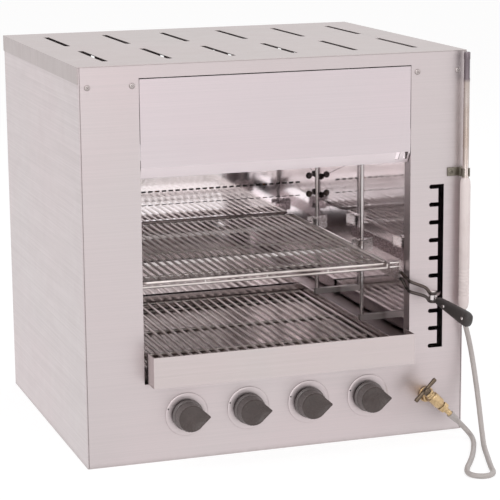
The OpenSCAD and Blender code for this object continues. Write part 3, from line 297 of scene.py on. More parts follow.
# Painted shade: the top cover is a darker copy of the casing steel.
casing_top_painted_shade = sheet_steel("casing_steel_top", (0.448, 0.402, 0.396), 0.40, TOP_GRAIN)
polished = sheet_steel("polished_steel", (0.93, 0.885, 0.90), 0.05, FRONT_GRAIN, grime=0.15, haze=0.03, relief=0.02)
dull = sheet_steel("dull_steel", (0.42, 0.39, 0.38), 0.42, FRONT_GRAIN, grime=0.7)
tray_steel = used_tray_steel("tray_steel", (0.54, 0.483, 0.478))
rod_steel = bar_steel("rod_steel", (0.62, 0.58, 0.58), 0.18, stain=0.3)
carriage_steel = bar_steel("carriage_steel", (0.62, 0.57, 0.57), 0.22, stain=0.35)
wire_steel = bar_steel("wire_steel", (0.66, 0.60, 0.585), 0.33, heat=(0.27, 0.215, 0.19), stain=0.65)
bright_steel = bar_steel("bright_steel", (0.78, 0.73, 0.72), 0.16, stain=0.12)
screw_steel = bar_steel("screw_steel", (0.42, 0.375, 0.37), 0.40, stain=0.25)
tube_steel = lance_steel("tube_steel")
dark_steel = bar_steel("dark_steel", (0.075, 0.062, 0.06), 0.38, heat=(0.16, 0.11, 0.08))
clip_steel = bar_steel("clip_steel", (0.20, 0.18, 0.15), 0.35, heat=(0.10, 0.08, 0.05))
# Painted light: the knob body's plastic is paler than the face's and stands in for the light on its sides.
painted_light_knob_side = plastic("knob_side_plastic", (0.15, 0.128, 0.126), 0.34, (0.24, 0.21, 0.21))
knob_face = plastic("knob_face_plastic", (0.050, 0.034, 0.031), 0.24, (0.13, 0.10, 0.095), depth=0.0005, scale=260)
grip_black = plastic("grip_plastic", (0.030, 0.024, 0.023), 0.42, (0.09, 0.075, 0.07))
handle_pale = plastic("torch_handle_plastic", (0.76, 0.67, 0.655), 0.45, (0.60, 0.51, 0.48))
hose_rubber = plastic("hose_rubber", (0.46, 0.42, 0.405), 0.42, (0.36, 0.325, 0.31), scale=500)
tap_brass = brass("tap_brass", (0.58, 0.42, 0.24))
tap_copper = brass("pipe_copper", (0.60, 0.30, 0.18), tarnish=(0.20, 0.10, 0.06))
enamel = bar_steel("tap_handle_enamel", (0.10, 0.075, 0.06), 0.4, heat=(0.20, 0.15, 0.10), stain=0.8)
pipe_paint = plastic("pipe_paint", (0.14, 0.13, 0.12), 0.5, (0.22, 0.18, 0.15))
ceramic = perforated_ceramic("plaque_ceramic")

NODE_MATERIALS = {
    "base_panel": casing, "left_side_panel": casing, "right_side_panel": casing, "rear_panel": casing,
    "top_cover": casing_top_painted_shade, "front_plate": casing_front, "hood_panel": casing_hood_painted_light,
    "cavity_left_wall": polished, "cavity_right_wall": polished, "cavity_back_wall": polished,
    "cavity_roof": dull, "cavity_floor": dull, "burner_plaques": ceramic, "injectors": tap_brass,
    "burner_pipes": tap_copper, "gas_manifold": pipe_paint, "gas_inlet": tap_brass,
    "front_guide_rod": rod_steel, "rear_guide_rod": rod_steel, "rod_brackets": dull,
    "rack_carriage": carriage_steel, "drip_tray": tray_steel, "tray_runners": dull,
}
for i in range(1, 5):
    NODE_MATERIALS[f"burner_housing_{i}"] = dull
    NODE_MATERIALS[f"tap_body_{i}"] = tap_brass
    NODE_MATERIALS[f"tap_collar_{i}"] = bright_steel
    NODE_MATERIALS[f"tap_stem_{i}"] = tap_brass
SHEET_NODES = (
    "base_panel", "left_side_panel", "right_side_panel", "rear_panel", "top_cover", "hood_panel",
    "cavity_left_wall", "cavity_right_wall", "drip_tray", "tray_runners", "rack_carriage",
    "rod_brackets",
)


def dress_node(name, material):
    """Gives a CAD node its material, and rolled edges where it is bent sheet."""
    node = frame["nodes"][name]
    for entry in node.material_slots:
        entry.link = "OBJECT"
        entry.material = material
    if name in SHEET_NODES:
        weld = node.modifiers.new("weld", "WELD")
        weld.merge_threshold = 0.00001
        edge = node.modifiers.new("rolled_edge", "BEVEL")
        edge.width = 0.35 * MM
        edge.segments = 2
        edge.limit_method = "ANGLE"
        edge.angle_limit = math.radians(40)
        edge.harden_normals = True


for name, material in NODE_MATERIALS.items():
    dress_node(name, material)


# Mesh building

def smooth_path(points, steps=8):
    """Points on one smooth curve through the given points."""
    points = [Vector(p) for p in points]
    ends = [2 * points[0] - points[1], *points, 2 * points[-1] - points[-2]]
    path = []
    for a, b, c, d in zip(ends, ends[1:], ends[2:], ends[3:]):
        for k in range(steps):
            t = k / steps
            path.append(0.5 * (
                2 * b + (c - a) * t + (2 * a - 5 * b + 4 * c - d) * t ** 2 + (3 * b - a - 3 * c + d) * t ** 3
            ))
    return path + [points[-1]]


class Shape:
    """Collects the surfaces of one piece."""

    def __init__(self):
        self.verts, self.faces = [], []

    def add(self, verts, faces):
        first = len(self.verts)
        self.verts += [Vector(v) for v in verts]
        self.faces += [[first + i for i in face] for face in faces]
        return self

    def rings(self, rings, closed_ends=True):
        """Skin over rings of points that all have the same count."""
        count = len(rings[0])
        faces = []
        for i in range(len(rings) - 1):
            for k in range(count):
                n = (k + 1) % count
                faces.append([i * count + k, i * count + n, (i + 1) * count + n, (i + 1) * count + k])
        if closed_ends:
            faces.append(list(reversed(range(count))))
            faces.append([(len(rings) - 1) * count + k for k in range(count)])
        return self.add([v for ring in rings for v in ring], faces)

    def lathe(self, profile, origin, axis, steps=48):
        """Profile of (radius, height) pairs in metres, turned round an axis."""
        axis = Vector(axis).normalized()
        side = axis.orthogonal().normalized()
        other = axis.cross(side)
        turns = [2 * math.pi * k / steps for k in range(steps)]
        return self.rings([
            [Vector(origin) + axis * h + (side * math.cos(a) + other * math.sin(a)) * r for a in turns]
            for r, h in profile
        ])

    def tube(self, points, radius, steps=14):
        """Round bar along points; its cross-section doesn't twist. Its ends are slightly rounded."""
        points = [Vector(p) for p in points]
        ways = [(b - a).normalized() for a, b in zip(points, points[1:])]
        ways = [ways[0], *[(a + b).normalized() for a, b in zip(ways, ways[1:])], ways[-1]]
        side = ways[0].orthogonal().normalized()
        rings = []
        for i, (p, way) in enumerate(zip(points, ways)):
            side = (side - way * side.dot(way)).normalized()
            other = way.cross(side)
            ring = [
                p + (side * math.cos(a) + other * math.sin(a)) * radius
                for a in (2 * math.pi * k / steps for k in range(steps))
            ]
            inset = min(0.2 * radius, 0.4 * MM)
            tip = [v.lerp(p, inset / radius) for v in ring]
            if i == 0:
                rings += [tip, [v + way * inset for v in ring]]
            elif i == len(points) - 1:
                rings += [[v - way * inset for v in ring], tip]
            else:
                rings.append(ring)
        return self.rings(rings)

    def block(self, low, high, edge=0.4 * MM):
        """Box with rounded edges."""
        low, high = Vector(low), Vector(high)
        made = bmesh.new()
        bmesh.ops.create_cube(made, size=1)
        bmesh.ops.scale(made, vec=high - low, verts=made.verts)
        bmesh.ops.translate(made, vec=(low + high) / 2, verts=made.verts)
        if edge:
            bmesh.ops.bevel(made, geom=made.edges[:], offset=edge, segments=2, profile=0.5, affect="EDGES")
        self.add([v.co.copy() for v in made.verts], [[v.index for v in f.verts] for f in made.faces])
        made.free()
        return self

    def turned(self, matrix):
        self.verts = [matrix @ v for v in self.verts]
        return self

    def build(self, name, body, material, slot, replaces=(), sharp=35):
        mesh = bpy.data.meshes.new(name)
        mesh.from_pydata([tuple(v) for v in self.verts], [], self.faces)
        made = bmesh.new()
        made.from_mesh(mesh)
        bmesh.ops.recalc_face_normals(made, faces=made.faces)
        made.to_mesh(mesh)
        made.free()
        mesh.polygons.foreach_set("use_smooth", [True] * len(mesh.polygons))
        mesh.set_sharp_from_angle(angle=math.radians(sharp))
        mesh.materials.append(material)
        piece = bpy.data.objects.new(name, mesh)
        scene.collection.objects.link(piece)
        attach(piece, body)
        if replaces:
            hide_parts(*replaces)
        return piece


# The lighting torch's hose: the same points as the CAD solid's, in metres
HOSE_RADIUS = 4 * MM
HOSE_ROUTE = [
    (0.294, -0.264, 0.195), (0.2945, -0.264, 0.184), (0.2975, -0.2645, 0.168), (0.3015, -0.267, 0.149),
    (0.3045, -0.272, 0.126), (0.306, -0.279, 0.102), (0.3065, -0.288, 0.076), (0.3055, -0.299, 0.051),
    (0.303, -0.312, 0.028), (0.2985, -0.328, 0.0115), (0.291, -0.348, 0.0048), (0.281, -0.374, 0.0042),
    (0.271, -0.402, 0.0042), (0.261, -0.43, 0.0042), (0.2525, -0.455, 0.0042), (0.2465, -0.474, 0.0042),
    (0.239, -0.4845, 0.0042), (0.228, -0.488, 0.0042), (0.217, -0.484, 0.0042), (0.2108, -0.4745, 0.0042),
    (0.2112, -0.462, 0.0042), (0.2195, -0.444, 0.0042), (0.232, -0.425, 0.0042), (0.245, -0.404, 0.0042),
    (0.257, -0.383, 0.0042), (0.2675, -0.3625, 0.0042), (0.2765, -0.344, 0.0042), (0.2835, -0.3275, 0.0042),
    (0.2885, -0.3125, 0.0043), (0.2897, -0.3015, 0.0068), (0.286, -0.2932, 0.013), (0.2793, -0.29, 0.0207),
    (0.273, -0.29, 0.027),
]


def make_hose():
    path = smooth_path(HOSE_ROUTE, 6)
    data = bpy.data.curves.new("gas_hose", "CURVE")
    data.dimensions = "3D"
    data.bevel_depth = HOSE_RADIUS
    data.bevel_resolution = 5
    data.use_fill_caps = True
    spline = data.splines.new("POLY")
    spline.points.add(len(path) - 1)
    for point, place in zip(spline.points, path):
        point.co = (*place, 1)
    data.materials.append(hose_rubber)
    hose = bpy.data.objects.new("gas_hose", data)
    scene.collection.objects.link(hose)
    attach(hose, "casing")
    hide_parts("torch_hose")


make_hose()


# Upper rack: round wires in a frame of thicker wire
def make_upper_rack():
    low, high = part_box("upper_rack")
    wire, rail, pitch = 1.9 * MM, 2.6 * MM, 12 * MM
    wire_z = high.z - wire
    rail_z = high.z - rail
    drop = 6.5 * MM
    shape = Shape()
    corner = 9 * MM
    left, right, front, back = low.x + rail, high.x - rail, low.y + rail, high.y - rail
    ring = [
        (left, front + corner), (left, back - corner), (left + corner / 3, back - corner / 3), (left + corner, back),
        (right - corner, back), (right - corner / 3, back - corner / 3), (right, back - corner), (right, front + corner),
        (right - corner / 3, front + corner / 3), (right - corner, front), (left + corner, front),
        (left + corner / 3, front + corner / 3), (left, front + corner),
    ]
    shape.tube([(x, y, rail_z) for x, y in ring], rail)
    shape.tube([(left, front, rail_z - drop), (right, front, rail_z - drop)], wire + 0.2 * MM)
    count = round((right - left) / pitch)
    for i in range(1, count):
        x = left + (right - left) * i / count + rng.uniform(-0.2, 0.2) * MM
        sag = rng.uniform(0, 0.25) * MM
        shape.tube([(x, front, wire_z), (x, (front + back) / 2, wire_z - sag), (x, back, wire_z)], wire, steps=12)
    for share in (0.12, 0.5, 0.88):
        y = low.y + share * (high.y - low.y)
        shape.tube([(left, y, wire_z - 1.9 * wire), (right, y, wire_z - 1.9 * wire)], wire, steps=12)
    for share in (0.0, 0.25, 0.5, 0.75, 1.0):
        x = left + share * (right - left)
        shape.tube([(x, front, rail_z), (x, front, rail_z - drop)], wire)
    shape.build("rack_wires", "carriage", wire_steel, "rack_wire", ["upper_rack"])


make_upper_rack()


# Lower grid: heavier round bars that lie in the tray on the bars across
def make_lower_grid():
    low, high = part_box("lower_grid")
    bar, pitch = 2.5 * MM, 15 * MM
    z = high.z - bar
    left, right, front, back = low.x + bar, high.x - bar, low.y + bar, high.y - bar
    shape = Shape()
    for x in (left, right):
        shape.tube([(x, front, z), (x, back, z)], bar)
    for y in (front, back):
        shape.tube([(left, y, z), (right, y, z)], bar)
    count = round((right - left) / pitch)
    for i in range(1, count):
        x = left + (right - left) * i / count + rng.uniform(-0.3, 0.3) * MM
        shape.tube([(x, front, z), (x, back, z)], bar * 0.92, steps=12)
    for share in (0.08, 0.36, 0.64, 0.92):
        y = low.y + share * (high.y - low.y)
        shape.tube([(left, y, low.z + 0.8 * bar), (right, y, low.z + 0.8 * bar)], bar * 0.8)
    shape.build("grid_bars", "tray", wire_steel, "rack_wire", ["lower_grid"])


make_lower_grid()


# Knobs: a ribbed body on a skirt, painted paler as light on its sides, and a darker face whose wedge is the pointer
KNOB_RIBS = 28


def make_knob(i):
    low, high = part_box(f"knob_{i}")
    x, _, z = joints[f"turn_{i}"]["pos_m"]
    depth = high.y - low.y
    radius = (high.z - low.z) / 2
    rim = radius - 2 * MM
    body = Shape()
    steps = 4 * KNOB_RIBS
    rings = []
    for r, h, rib in (
        (0.5 * MM, 0, 0), (radius - 0.8 * MM, 0, 0), (radius, 0.9 * MM, 0), (radius, 3.4 * MM, 0),
        (radius - 0.7 * MM, 4.3 * MM, 0), (rim - 0.3 * MM, 5 * MM, 0.3 * MM), (rim - 0.6 * MM, depth - 3.4 * MM, 0.3 * MM),
        (rim - 1.3 * MM, depth - 2 * MM, 0.1 * MM), (rim - 2.2 * MM, depth - 1.5 * MM, 0), (0.5 * MM, depth - 1.5 * MM, 0),
    ):
        rings.append([
            Vector((x + (r + rib * math.cos(KNOB_RIBS * a)) * math.cos(a), high.y - h, z + (r + rib * math.cos(KNOB_RIBS * a)) * math.sin(a)))
            for a in (2 * math.pi * k / steps for k in range(steps))
        ])
    body.rings(rings)
    body.build(f"knob_body_{i}", f"knob_{i}", painted_light_knob_side, "knob_plastic", [f"knob_{i}"])

    face = Shape()
    tip, half = high.x - x, math.radians(40)
    turns = [half + (2 * math.pi - 2 * half) * k / 60 for k in range(61)]
    edge = rim - 1.6 * MM
    outline = [(edge * math.cos(a), edge * math.sin(a)) for a in turns]
    outline += [(tip, -0.9 * MM), (tip, 0.9 * MM)]
    rings = []
    for share, h in ((1.0, depth - 2.2 * MM), (1.0, depth - 0.7 * MM), (0.975, depth), (0.88, depth), (0.84, depth - 0.5 * MM), (0.03, depth - 0.7 * MM)):
        rings.append([Vector((x + px * share, high.y - h, z + pz * share)) for px, pz in outline])
    face.rings(rings)
    wedge = [(tip, 0.9 * MM), (tip, -0.9 * MM), (edge * math.cos(half), -edge * math.sin(half)), (edge * math.cos(half), edge * math.sin(half))]
    face.rings([
        [Vector((x + edge / 2 + (px - edge / 2) * share, high.y - h, z + pz * share)) for px, pz in wedge]
        for h, share in ((0, 0.97), (0.6 * MM, 1), (depth - 2.2 * MM, 1))
    ])
    face.build(f"knob_face_{i}", f"knob_{i}", knob_face, "knob_plastic")


for i in range(1, 5):
    make_knob(i)


def make_bezels():
    """Low rings under the knobs, each with a dark index mark."""
    low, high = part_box("knob_bezels")
    thick = high.y - low.y
    radius = (high.z - low.z) / 2
    profile = [
        (9 * MM, 0), (radius, 0), (radius - 0.3 * MM, 0.55 * thick), (radius - 1.4 * MM, 0.9 * thick), (radius - 3 * MM, thick),
        (26 * MM, thick), (9 * MM, thick),
    ]
    ring, mark = Shape(), Shape()
    angle = math.radians(160)
    for i in range(1, 5):
        x, _, z = joints[f"turn_{i}"]["pos_m"]
        ring.lathe(profile, (x, high.y, z), -Y, steps=72)
        place = Vector((x + (radius - 2.6 * MM) * math.cos(angle), low.y + 0.3 * MM, z + (radius - 2.6 * MM) * math.sin(angle)))
        mark.lathe([(0.1 * MM, 0), (1.3 * MM, 0), (1.2 * MM, 0.3 * MM), (0.1 * MM, 0.3 * MM)], place, -Y, steps=20)
    ring.build("bezel_rings", "casing", casing_front, "bright_steel", ["knob_bezels"], sharp=25)
    mark.build("index_marks", "casing", grip_black, "knob_plastic")


make_bezels()


# Lever: hub, flat strap and tongue; a moulded grip with a rivet near its end
pivot = Vector(joints["lever_swing"]["pos_m"])


def make_lever():
    low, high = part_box("lever_arm")
    grip_low, grip_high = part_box("lever_grip")
    reach = Vector((0.265, -0.352, 0.197)) - pivot
    way = reach.normalized()
    side = way.cross(Z).normalized()
    up = side.cross(way)
    hub_r = 6.5 * MM
    shape = Shape()
    shape.lathe(
        [(3.1 * MM, -4 * MM), (hub_r - 0.6 * MM, -4 * MM), (hub_r, -3.4 * MM), (hub_r, 3.4 * MM),
         (hub_r - 0.6 * MM, 4 * MM), (3.1 * MM, 4 * MM)],
        pivot, Z, steps=40,
    )
    tongue = Vector((high.x - pivot.x, high.y - pivot.y, 0)).normalized()
    angle = math.atan2(24.75, 22.5)
    tongue = Vector((math.cos(angle), math.sin(angle), 0))
    beside = Vector((-tongue.y, tongue.x, 0))
    rings = []
    for along, wide, tall in ((4, 1.6, 2.2), (35, 1.6, 2.2), (38, 1.3, 1.8), (39, 0.6, 1.0)):
        centre = pivot + tongue * along * MM
        rings.append([
            centre + beside * (sx * wide * MM) + Z * (sz * tall * MM)
            for sx, sz in ((-1, -1), (1, -1), (1, 1), (-1, 1))
        ])
    shape.rings(rings)
    rings = []
    for along, half, tall in ((5, 1.5, 3.0), (9, 1.5, 3.4), (reach.length / MM - 8, 1.5, 3.4), (reach.length / MM - 4, 1.5, 2.4)):
        centre = pivot + way * along * MM
        rings.append([
            centre + side * (sx * half * MM) + up * (sz * tall * MM)
            for sx, sz in ((-1, -1), (1, -1), (1, 1), (-1, 1))
        ])
    shape.rings(rings)
    shape.build("lever_strap", "lever", carriage_steel, "carriage_steel", ["lever_arm"])

    grip = Shape()
    sides = 28
    start, end = 9 * MM, reach.length
    stations = [
        (0.00, 0.30), (0.015, 0.62), (0.05, 0.80), (0.12, 0.92), (0.3, 1.0), (0.55, 1.0), (0.75, 1.0),
        (0.87, 1.0), (0.93, 0.93), (0.97, 0.78), (0.99, 0.55), (1.0, 0.22),
    ]
    rings = []
    for share, full in stations:
        along = start + (end - start) * share
        half_tall = (6.0 + (11.8 - 6.0) * min(share / 0.82, 1.0) ** 1.15) * MM * full
        half_wide = 6.3 * MM * min(1.0, full + 0.12)
        ring = []
        for k in range(sides):
            a = 2 * math.pi * k / sides
            squareness = 0.62
            cx = math.copysign(abs(math.cos(a)) ** squareness, math.cos(a))
            cz = math.copysign(abs(math.sin(a)) ** (squareness + 0.2), math.sin(a))
            ring.append(pivot + way * along + side * (half_wide * cx) + up * (half_tall * cz))
        rings.append(ring)
    grip.rings(rings)
    grip.build("grip_handle", "lever", grip_black, "grip_plastic", ["lever_grip"], sharp=60)

    rivets = Shape()
    for share in (0.28, 0.82):
        centre = pivot + way * (start + (end - start) * share)
        for s in (-1, 1):
            rivets.lathe(
                [(2.4 * MM, 0), (2.3 * MM, 0.35 * MM), (1.5 * MM, 0.7 * MM), (0.1 * MM, 0.85 * MM)],
                centre + side * (s * 6.1 * MM), side * s, steps=24,
            )
    rivets.build("grip_rivets", "lever", bright_steel, "bright_steel")


make_lever()


# Fork: two bent rods that end in flat eyes on the pin
def make_fork():
    front_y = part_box("front_plate")[0].y
    bend_x = 0.207
    root_x, root_y = 0.204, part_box("rack_carriage")[0].y
    shape = Shape()
    for root_z, bend_z, eye_z, end_z in (
        (0.2515, 0.2453, pivot.z + 4.3 * MM, pivot.z + 7.3 * MM),
        (0.2415, 0.2297, pivot.z - 8.3 * MM, pivot.z - 6.3 * MM),
    ):
        path = smooth_path([
            (root_x, root_y, root_z), (root_x, root_y - 7 * MM, root_z), (bend_x, front_y + 2 * MM, bend_z),
            (bend_x + 0.2 * MM, front_y - 12 * MM, bend_z - 2 * MM), (pivot.x - 12 * MM, pivot.y + 2 * MM, end_z + 8 * MM),
            (pivot.x - 5.5 * MM, pivot.y, end_z),
        ], 7)
        shape.tube(path, 2.5 * MM, steps=16)
        shape.lathe(
            [(3.05 * MM, 0), (6 * MM, 0), (6.5 * MM, 0.5 * MM), (6.5 * MM, 3.5 * MM), (6 * MM, 4 * MM), (3.05 * MM, 4 * MM)],
            (pivot.x, pivot.y, eye_z), Z, steps=40,
        )
    shape.build("fork_rods", "carriage", dark_steel, "dark_steel", ["carriage_fork"])

    low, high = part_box("lever_pin")
    pin = Shape()
    length = (high.z - low.z) / MM
    pin.lathe(
        [(r * MM, h * MM) for r, h in (
            (0.1, 0), (2.6, 0), (3.0, 0.5), (3.0, length - 2), (4.5, length - 2), (4.5, length - 1.1),
            (3.6, length - 0.3), (1.8, length), (0.1, length),
        )],
        (pivot.x, pivot.y, low.z), Z, steps=32,
    )
    pin.build("fork_rivet", "carriage", bright_steel, "bright_steel", ["lever_pin"])


make_fork()


# Fasteners
def screw_head(shape, centre, way, radius, height):
    """Pan head with a cross recess: the dome's faces step down into a cross."""
    way = Vector(way).normalized()
    side = way.orthogonal().normalized()
    other = way.cross(side)
    steps = 48
    slot_half, slot_reach = 0.13 * radius, 0.62 * radius
    levels = [(1.0, 0.0), (1.0, 0.35), (0.94, 0.62), (0.80, 0.84), (0.66, 0.95)]
    rings = []
    for r, h in levels:
        rings.append([
            centre + way * (h * height) + (side * math.cos(a) + other * math.sin(a)) * r * radius
            for a in (2 * math.pi * k / steps for k in range(steps))
        ])

    def cross_radius(a):
        a = (a + math.pi / 4) % (math.pi / 2) - math.pi / 4
        return min(slot_reach, slot_half / max(abs(math.sin(a)), 1e-6))

    for scale, h in ((1.0, 0.985), (0.92, 0.62), (0.35, 0.45), (0.02, 0.42)):
        rings.append([
            centre + way * (h * height) + (side * math.cos(a) + other * math.sin(a)) * cross_radius(a) * scale
            for a in (2 * math.pi * k / steps for k in range(steps))
        ])
    shape.rings(rings)


def make_casing_screws():
    low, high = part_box("casing_screws")
    plate_low, plate_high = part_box("front_plate")
    rear_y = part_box("rear_panel")[1].y
    shape = Shape()
    head_r, head_h = 4.2 * MM, 2.0 * MM
    top_z = 0.560
    for x in (-0.2855, -0.220, 0.220, 0.2855):
        screw_head(shape, Vector((x, plate_low.y, top_z)), -Y, head_r, head_h)
    for x in (-0.2865, 0.2865):
        for z in (0.045, 0.295, 0.545):
            screw_head(shape, Vector((x, rear_y, z)), Y, head_r, head_h)
    shape.build("casing_screw_heads", "casing", screw_steel, "bright_steel", ["casing_screws"])


make_casing_screws()


def make_liner_bolts():
    """Hexagon bolts with washers in the cavity's rear corners."""
    back_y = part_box("cavity_back_wall")[0].y
    left_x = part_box("cavity_left_wall")[1].x
    right_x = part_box("cavity_right_wall")[0].x
    inset = 16 * MM
    shape = Shape()
    for wall_x, inward in ((left_x, 1), (right_x, -1)):
        for z in (0.331, 0.299):
            for place, way in (
                (Vector((wall_x + inward * inset, back_y, z)), -Y),
                (Vector((wall_x, back_y - inset, z)), X * inward),
            ):
                shape.lathe([(5.6 * MM, 0), (5.6 * MM, 0.5 * MM), (5.2 * MM, 0.8 * MM), (0.5 * MM, 0.8 * MM)], place, way, 32)
                shape.lathe([(4.9 * MM, 0.8 * MM), (4.9 * MM, 3.2 * MM), (4.1 * MM, 4 * MM), (0.5 * MM, 4 * MM)], place, way, 6)
    shape.build("liner_bolts", "casing", dark_steel, "dark_steel", ["liner_screws"])


make_liner_bolts()


# Lighting torch
torch_low, torch_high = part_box("torch_tube")
torch_x = (torch_low.x + torch_high.x) / 2
torch_y = (torch_low.y + torch_high.y) / 2


def make_torch():
    low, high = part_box("torch_handle")
    length = (high.z - low.z) / MM
    profile = [(0.1, 0), (4.6, 0), (5.4, 0.6), (6.6, 3), (7.4, 7), (8.0, 12)]
    for k in range(9):
        z = 20 + 5 * k
        profile += [(8.0, z), (7.5, z + 0.8), (7.5, z + 2.0), (8.0, z + 2.8)]
    profile += [(8.0, length - 14), (7.6, length - 6), (6.6, length - 1.5), (5.4, length), (0.1, length)]
    handle = Shape()
    handle.lathe([(r * MM, h * MM) for r, h in profile], (torch_x, torch_y, low.z), Z, steps=40)
    handle.build("torch_grip", "casing", handle_pale, "torch_handle_plastic", ["torch_handle"])

    tall = (torch_high.z - torch_low.z) / MM
    profile = [
        (0.1, 0), (4.9, 0), (4.9, 20), (4.6, 20.5), (4.6, tall - 46), (4.9, tall - 44), (4.9, tall - 40),
        (4.5, tall - 38), (4.5, tall - 12), (4.9, tall - 10), (4.9, tall - 1), (4.5, tall), (3.4, tall),
        (3.2, tall - 6), (0.1, tall - 6),
    ]
    tube = Shape()
    tube.lathe([(r * MM, h * MM) for r, h in profile], (torch_x, torch_y, torch_low.z), Z, steps=36)
    tube.build("torch_lance", "casing", tube_steel, "bright_steel", ["torch_tube"])


make_torch()


def make_clip():
    """Bent spring strip: a foot on the plate and two jaws round the tube."""
    low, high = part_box("torch_clip")
    front_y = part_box("front_plate")[0].y
    inner, thick = 5.1 * MM, 1.8 * MM
    outline = []
    start, end = math.radians(-48), math.radians(228)
    steps = 30
    for k in range(steps + 1):
        a = start + (end - start) * k / steps
        outline.append((torch_x + (inner + thick) * math.cos(a), torch_y + (inner + thick) * math.sin(a)))
    for k in range(steps, -1, -1):
        a = start + (end - start) * k / steps
        outline.append((torch_x + inner * math.cos(a), torch_y + inner * math.sin(a)))
    shape = Shape()
    rings = [
        [Vector((x, y, z)) for x, y in outline]
        for z in (low.z + 0.3 * MM, high.z - 0.3 * MM)
    ]
    shape.rings(rings)
    shape.block((low.x, front_y - 2 * MM, low.z), (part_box("front_plate")[1].x, front_y, high.z))
    shape.block((torch_x - 8 * MM, torch_y + 4 * MM, low.z), (torch_x - 6 * MM, front_y, high.z))
    shape.block((torch_x - 8 * MM, torch_y + 3.5 * MM, low.z), (torch_x - 1 * MM, torch_y + 5.5 * MM, high.z))
    screw_head(
        shape, Vector((low.x + 5 * MM, front_y - 2 * MM, (low.z + high.z) / 2)), -Y, 3.2 * MM, 1.5 * MM,
    )
    shape.build("spring_clip", "casing", clip_steel, "dark_steel", ["torch_clip"])


make_clip()


# Torch tap: an angle tap of turned brass with hexagons, a T-handle on its stem
def make_torch_tap():
    place = Vector(joints["torch_tap_turn"]["pos_m"])
    stem_way = Vector(joints["torch_tap_turn"]["axis"]).normalized()
    nozzle_way = -stem_way
    front_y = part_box("front_plate")[0].y
    body = Shape()
    body.lathe(
        [(r * MM, h * MM) for r, h in (
            (3.6, -15), (6.4, -15), (7.0, -14.4), (7.0, -11), (8.2, -10.4), (9.0, -9.4), (9.0, 7), (8.2, 9), (6.4, 10.2),
            (6.0, 12), (6.0, 13),
        )], place, nozzle_way, 48,
    )
    body.lathe([(r * MM, h * MM) for r, h in ((1, 12.5), (7.6, 12.5), (8.6, 13.4), (8.6, 20.0), (7.6, 21), (1, 21))], place, nozzle_way, 6)
    barbs = [(1, 21), (4.8, 21), (4.8, 24)]
    for k in range(3):
        h = 24 + 3.4 * k
        barbs += [(3.5, h), (4.4, h + 2.4), (3.6, h + 3.0)]
    barbs += [(3.4, 36), (1, 36)]
    body.lathe([(r * MM, h * MM) for r, h in barbs], place, nozzle_way, 36)
    body.lathe([(r * MM, h * MM) for r, h in ((1, -19), (6.6, -19), (7.4, -18.2), (7.4, -15.8), (6.6, -15), (1, -15))], place, nozzle_way, 6)
    length = (front_y - place.y) / MM
    body.lathe(
        [(r * MM, h * MM) for r, h in (
            (1, 0), (6, 0), (6, length - 15), (9.2, length - 15), (10.2, length - 14), (10.2, length - 6), (9.2, length - 5),
            (1, length - 5),
        )], place, Y, 6,
    )
    body.lathe([(r * MM, h * MM) for r, h in ((1, 4), (6.0, 4), (6.0, length - 14), (1, length - 14))], place, Y, 36)
    body.lathe(
        [(r * MM, h * MM) for r, h in (
            (1, length - 5), (11.4, length - 5), (12, length - 4.4), (12, length - 1), (11.6, length), (1, length),
        )], place, Y, 40,
    )
    body.build("angle_tap", "casing", tap_brass, "tap_brass", ["torch_tap_body"])
    sleeve = Shape()
    sleeve.lathe(
        [(r * MM, h * MM) for r, h in ((4.2, 33.5), (5.8, 33.5), (6.0, 34.2), (6.0, 36), (5.2, 43), (4.6, 48.6), (4.1, 49.4))],
        place, nozzle_way, 36,
    )
    sleeve.build("hose_sleeve", "casing", hose_rubber, "hose_rubber")

    low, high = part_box("torch_tap_handle")
    handle = Shape()
    handle.lathe(
        [(r * MM, h * MM) for r, h in (
            (0.1, 16), (3.4, 16), (3.4, 18.5), (5.0, 19.0), (6.0, 20), (6.0, 24.5), (5.2, 26.6), (3.2, 27.6), (0.1, 27.9),
        )], place, stem_way, 36,
    )
    bar_way = Vector((stem_way.z, 0, -stem_way.x)).normalized()
    centre = place + stem_way * 25 * MM
    half = 23 * MM
    path = []
    for k in range(-10, 11):
        path.append((k / 10, centre + bar_way * (half * k / 10)))
    steps = 18
    rings = []
    for share, p in path:
        swell = 2.7 + 0.9 * abs(share) ** 1.5
        if abs(share) > 0.92:
            swell *= 0.72
        rings.append([
            p + (Y * math.cos(a) + stem_way * math.sin(a)) * swell * MM
            for a in (2 * math.pi * n / steps for n in range(steps))
        ])
    handle.rings(rings)
    handle.build("tap_tee", "tap_handle", enamel, "tap_handle_steel", ["torch_tap_handle"], sharp=50)


make_torch_tap()


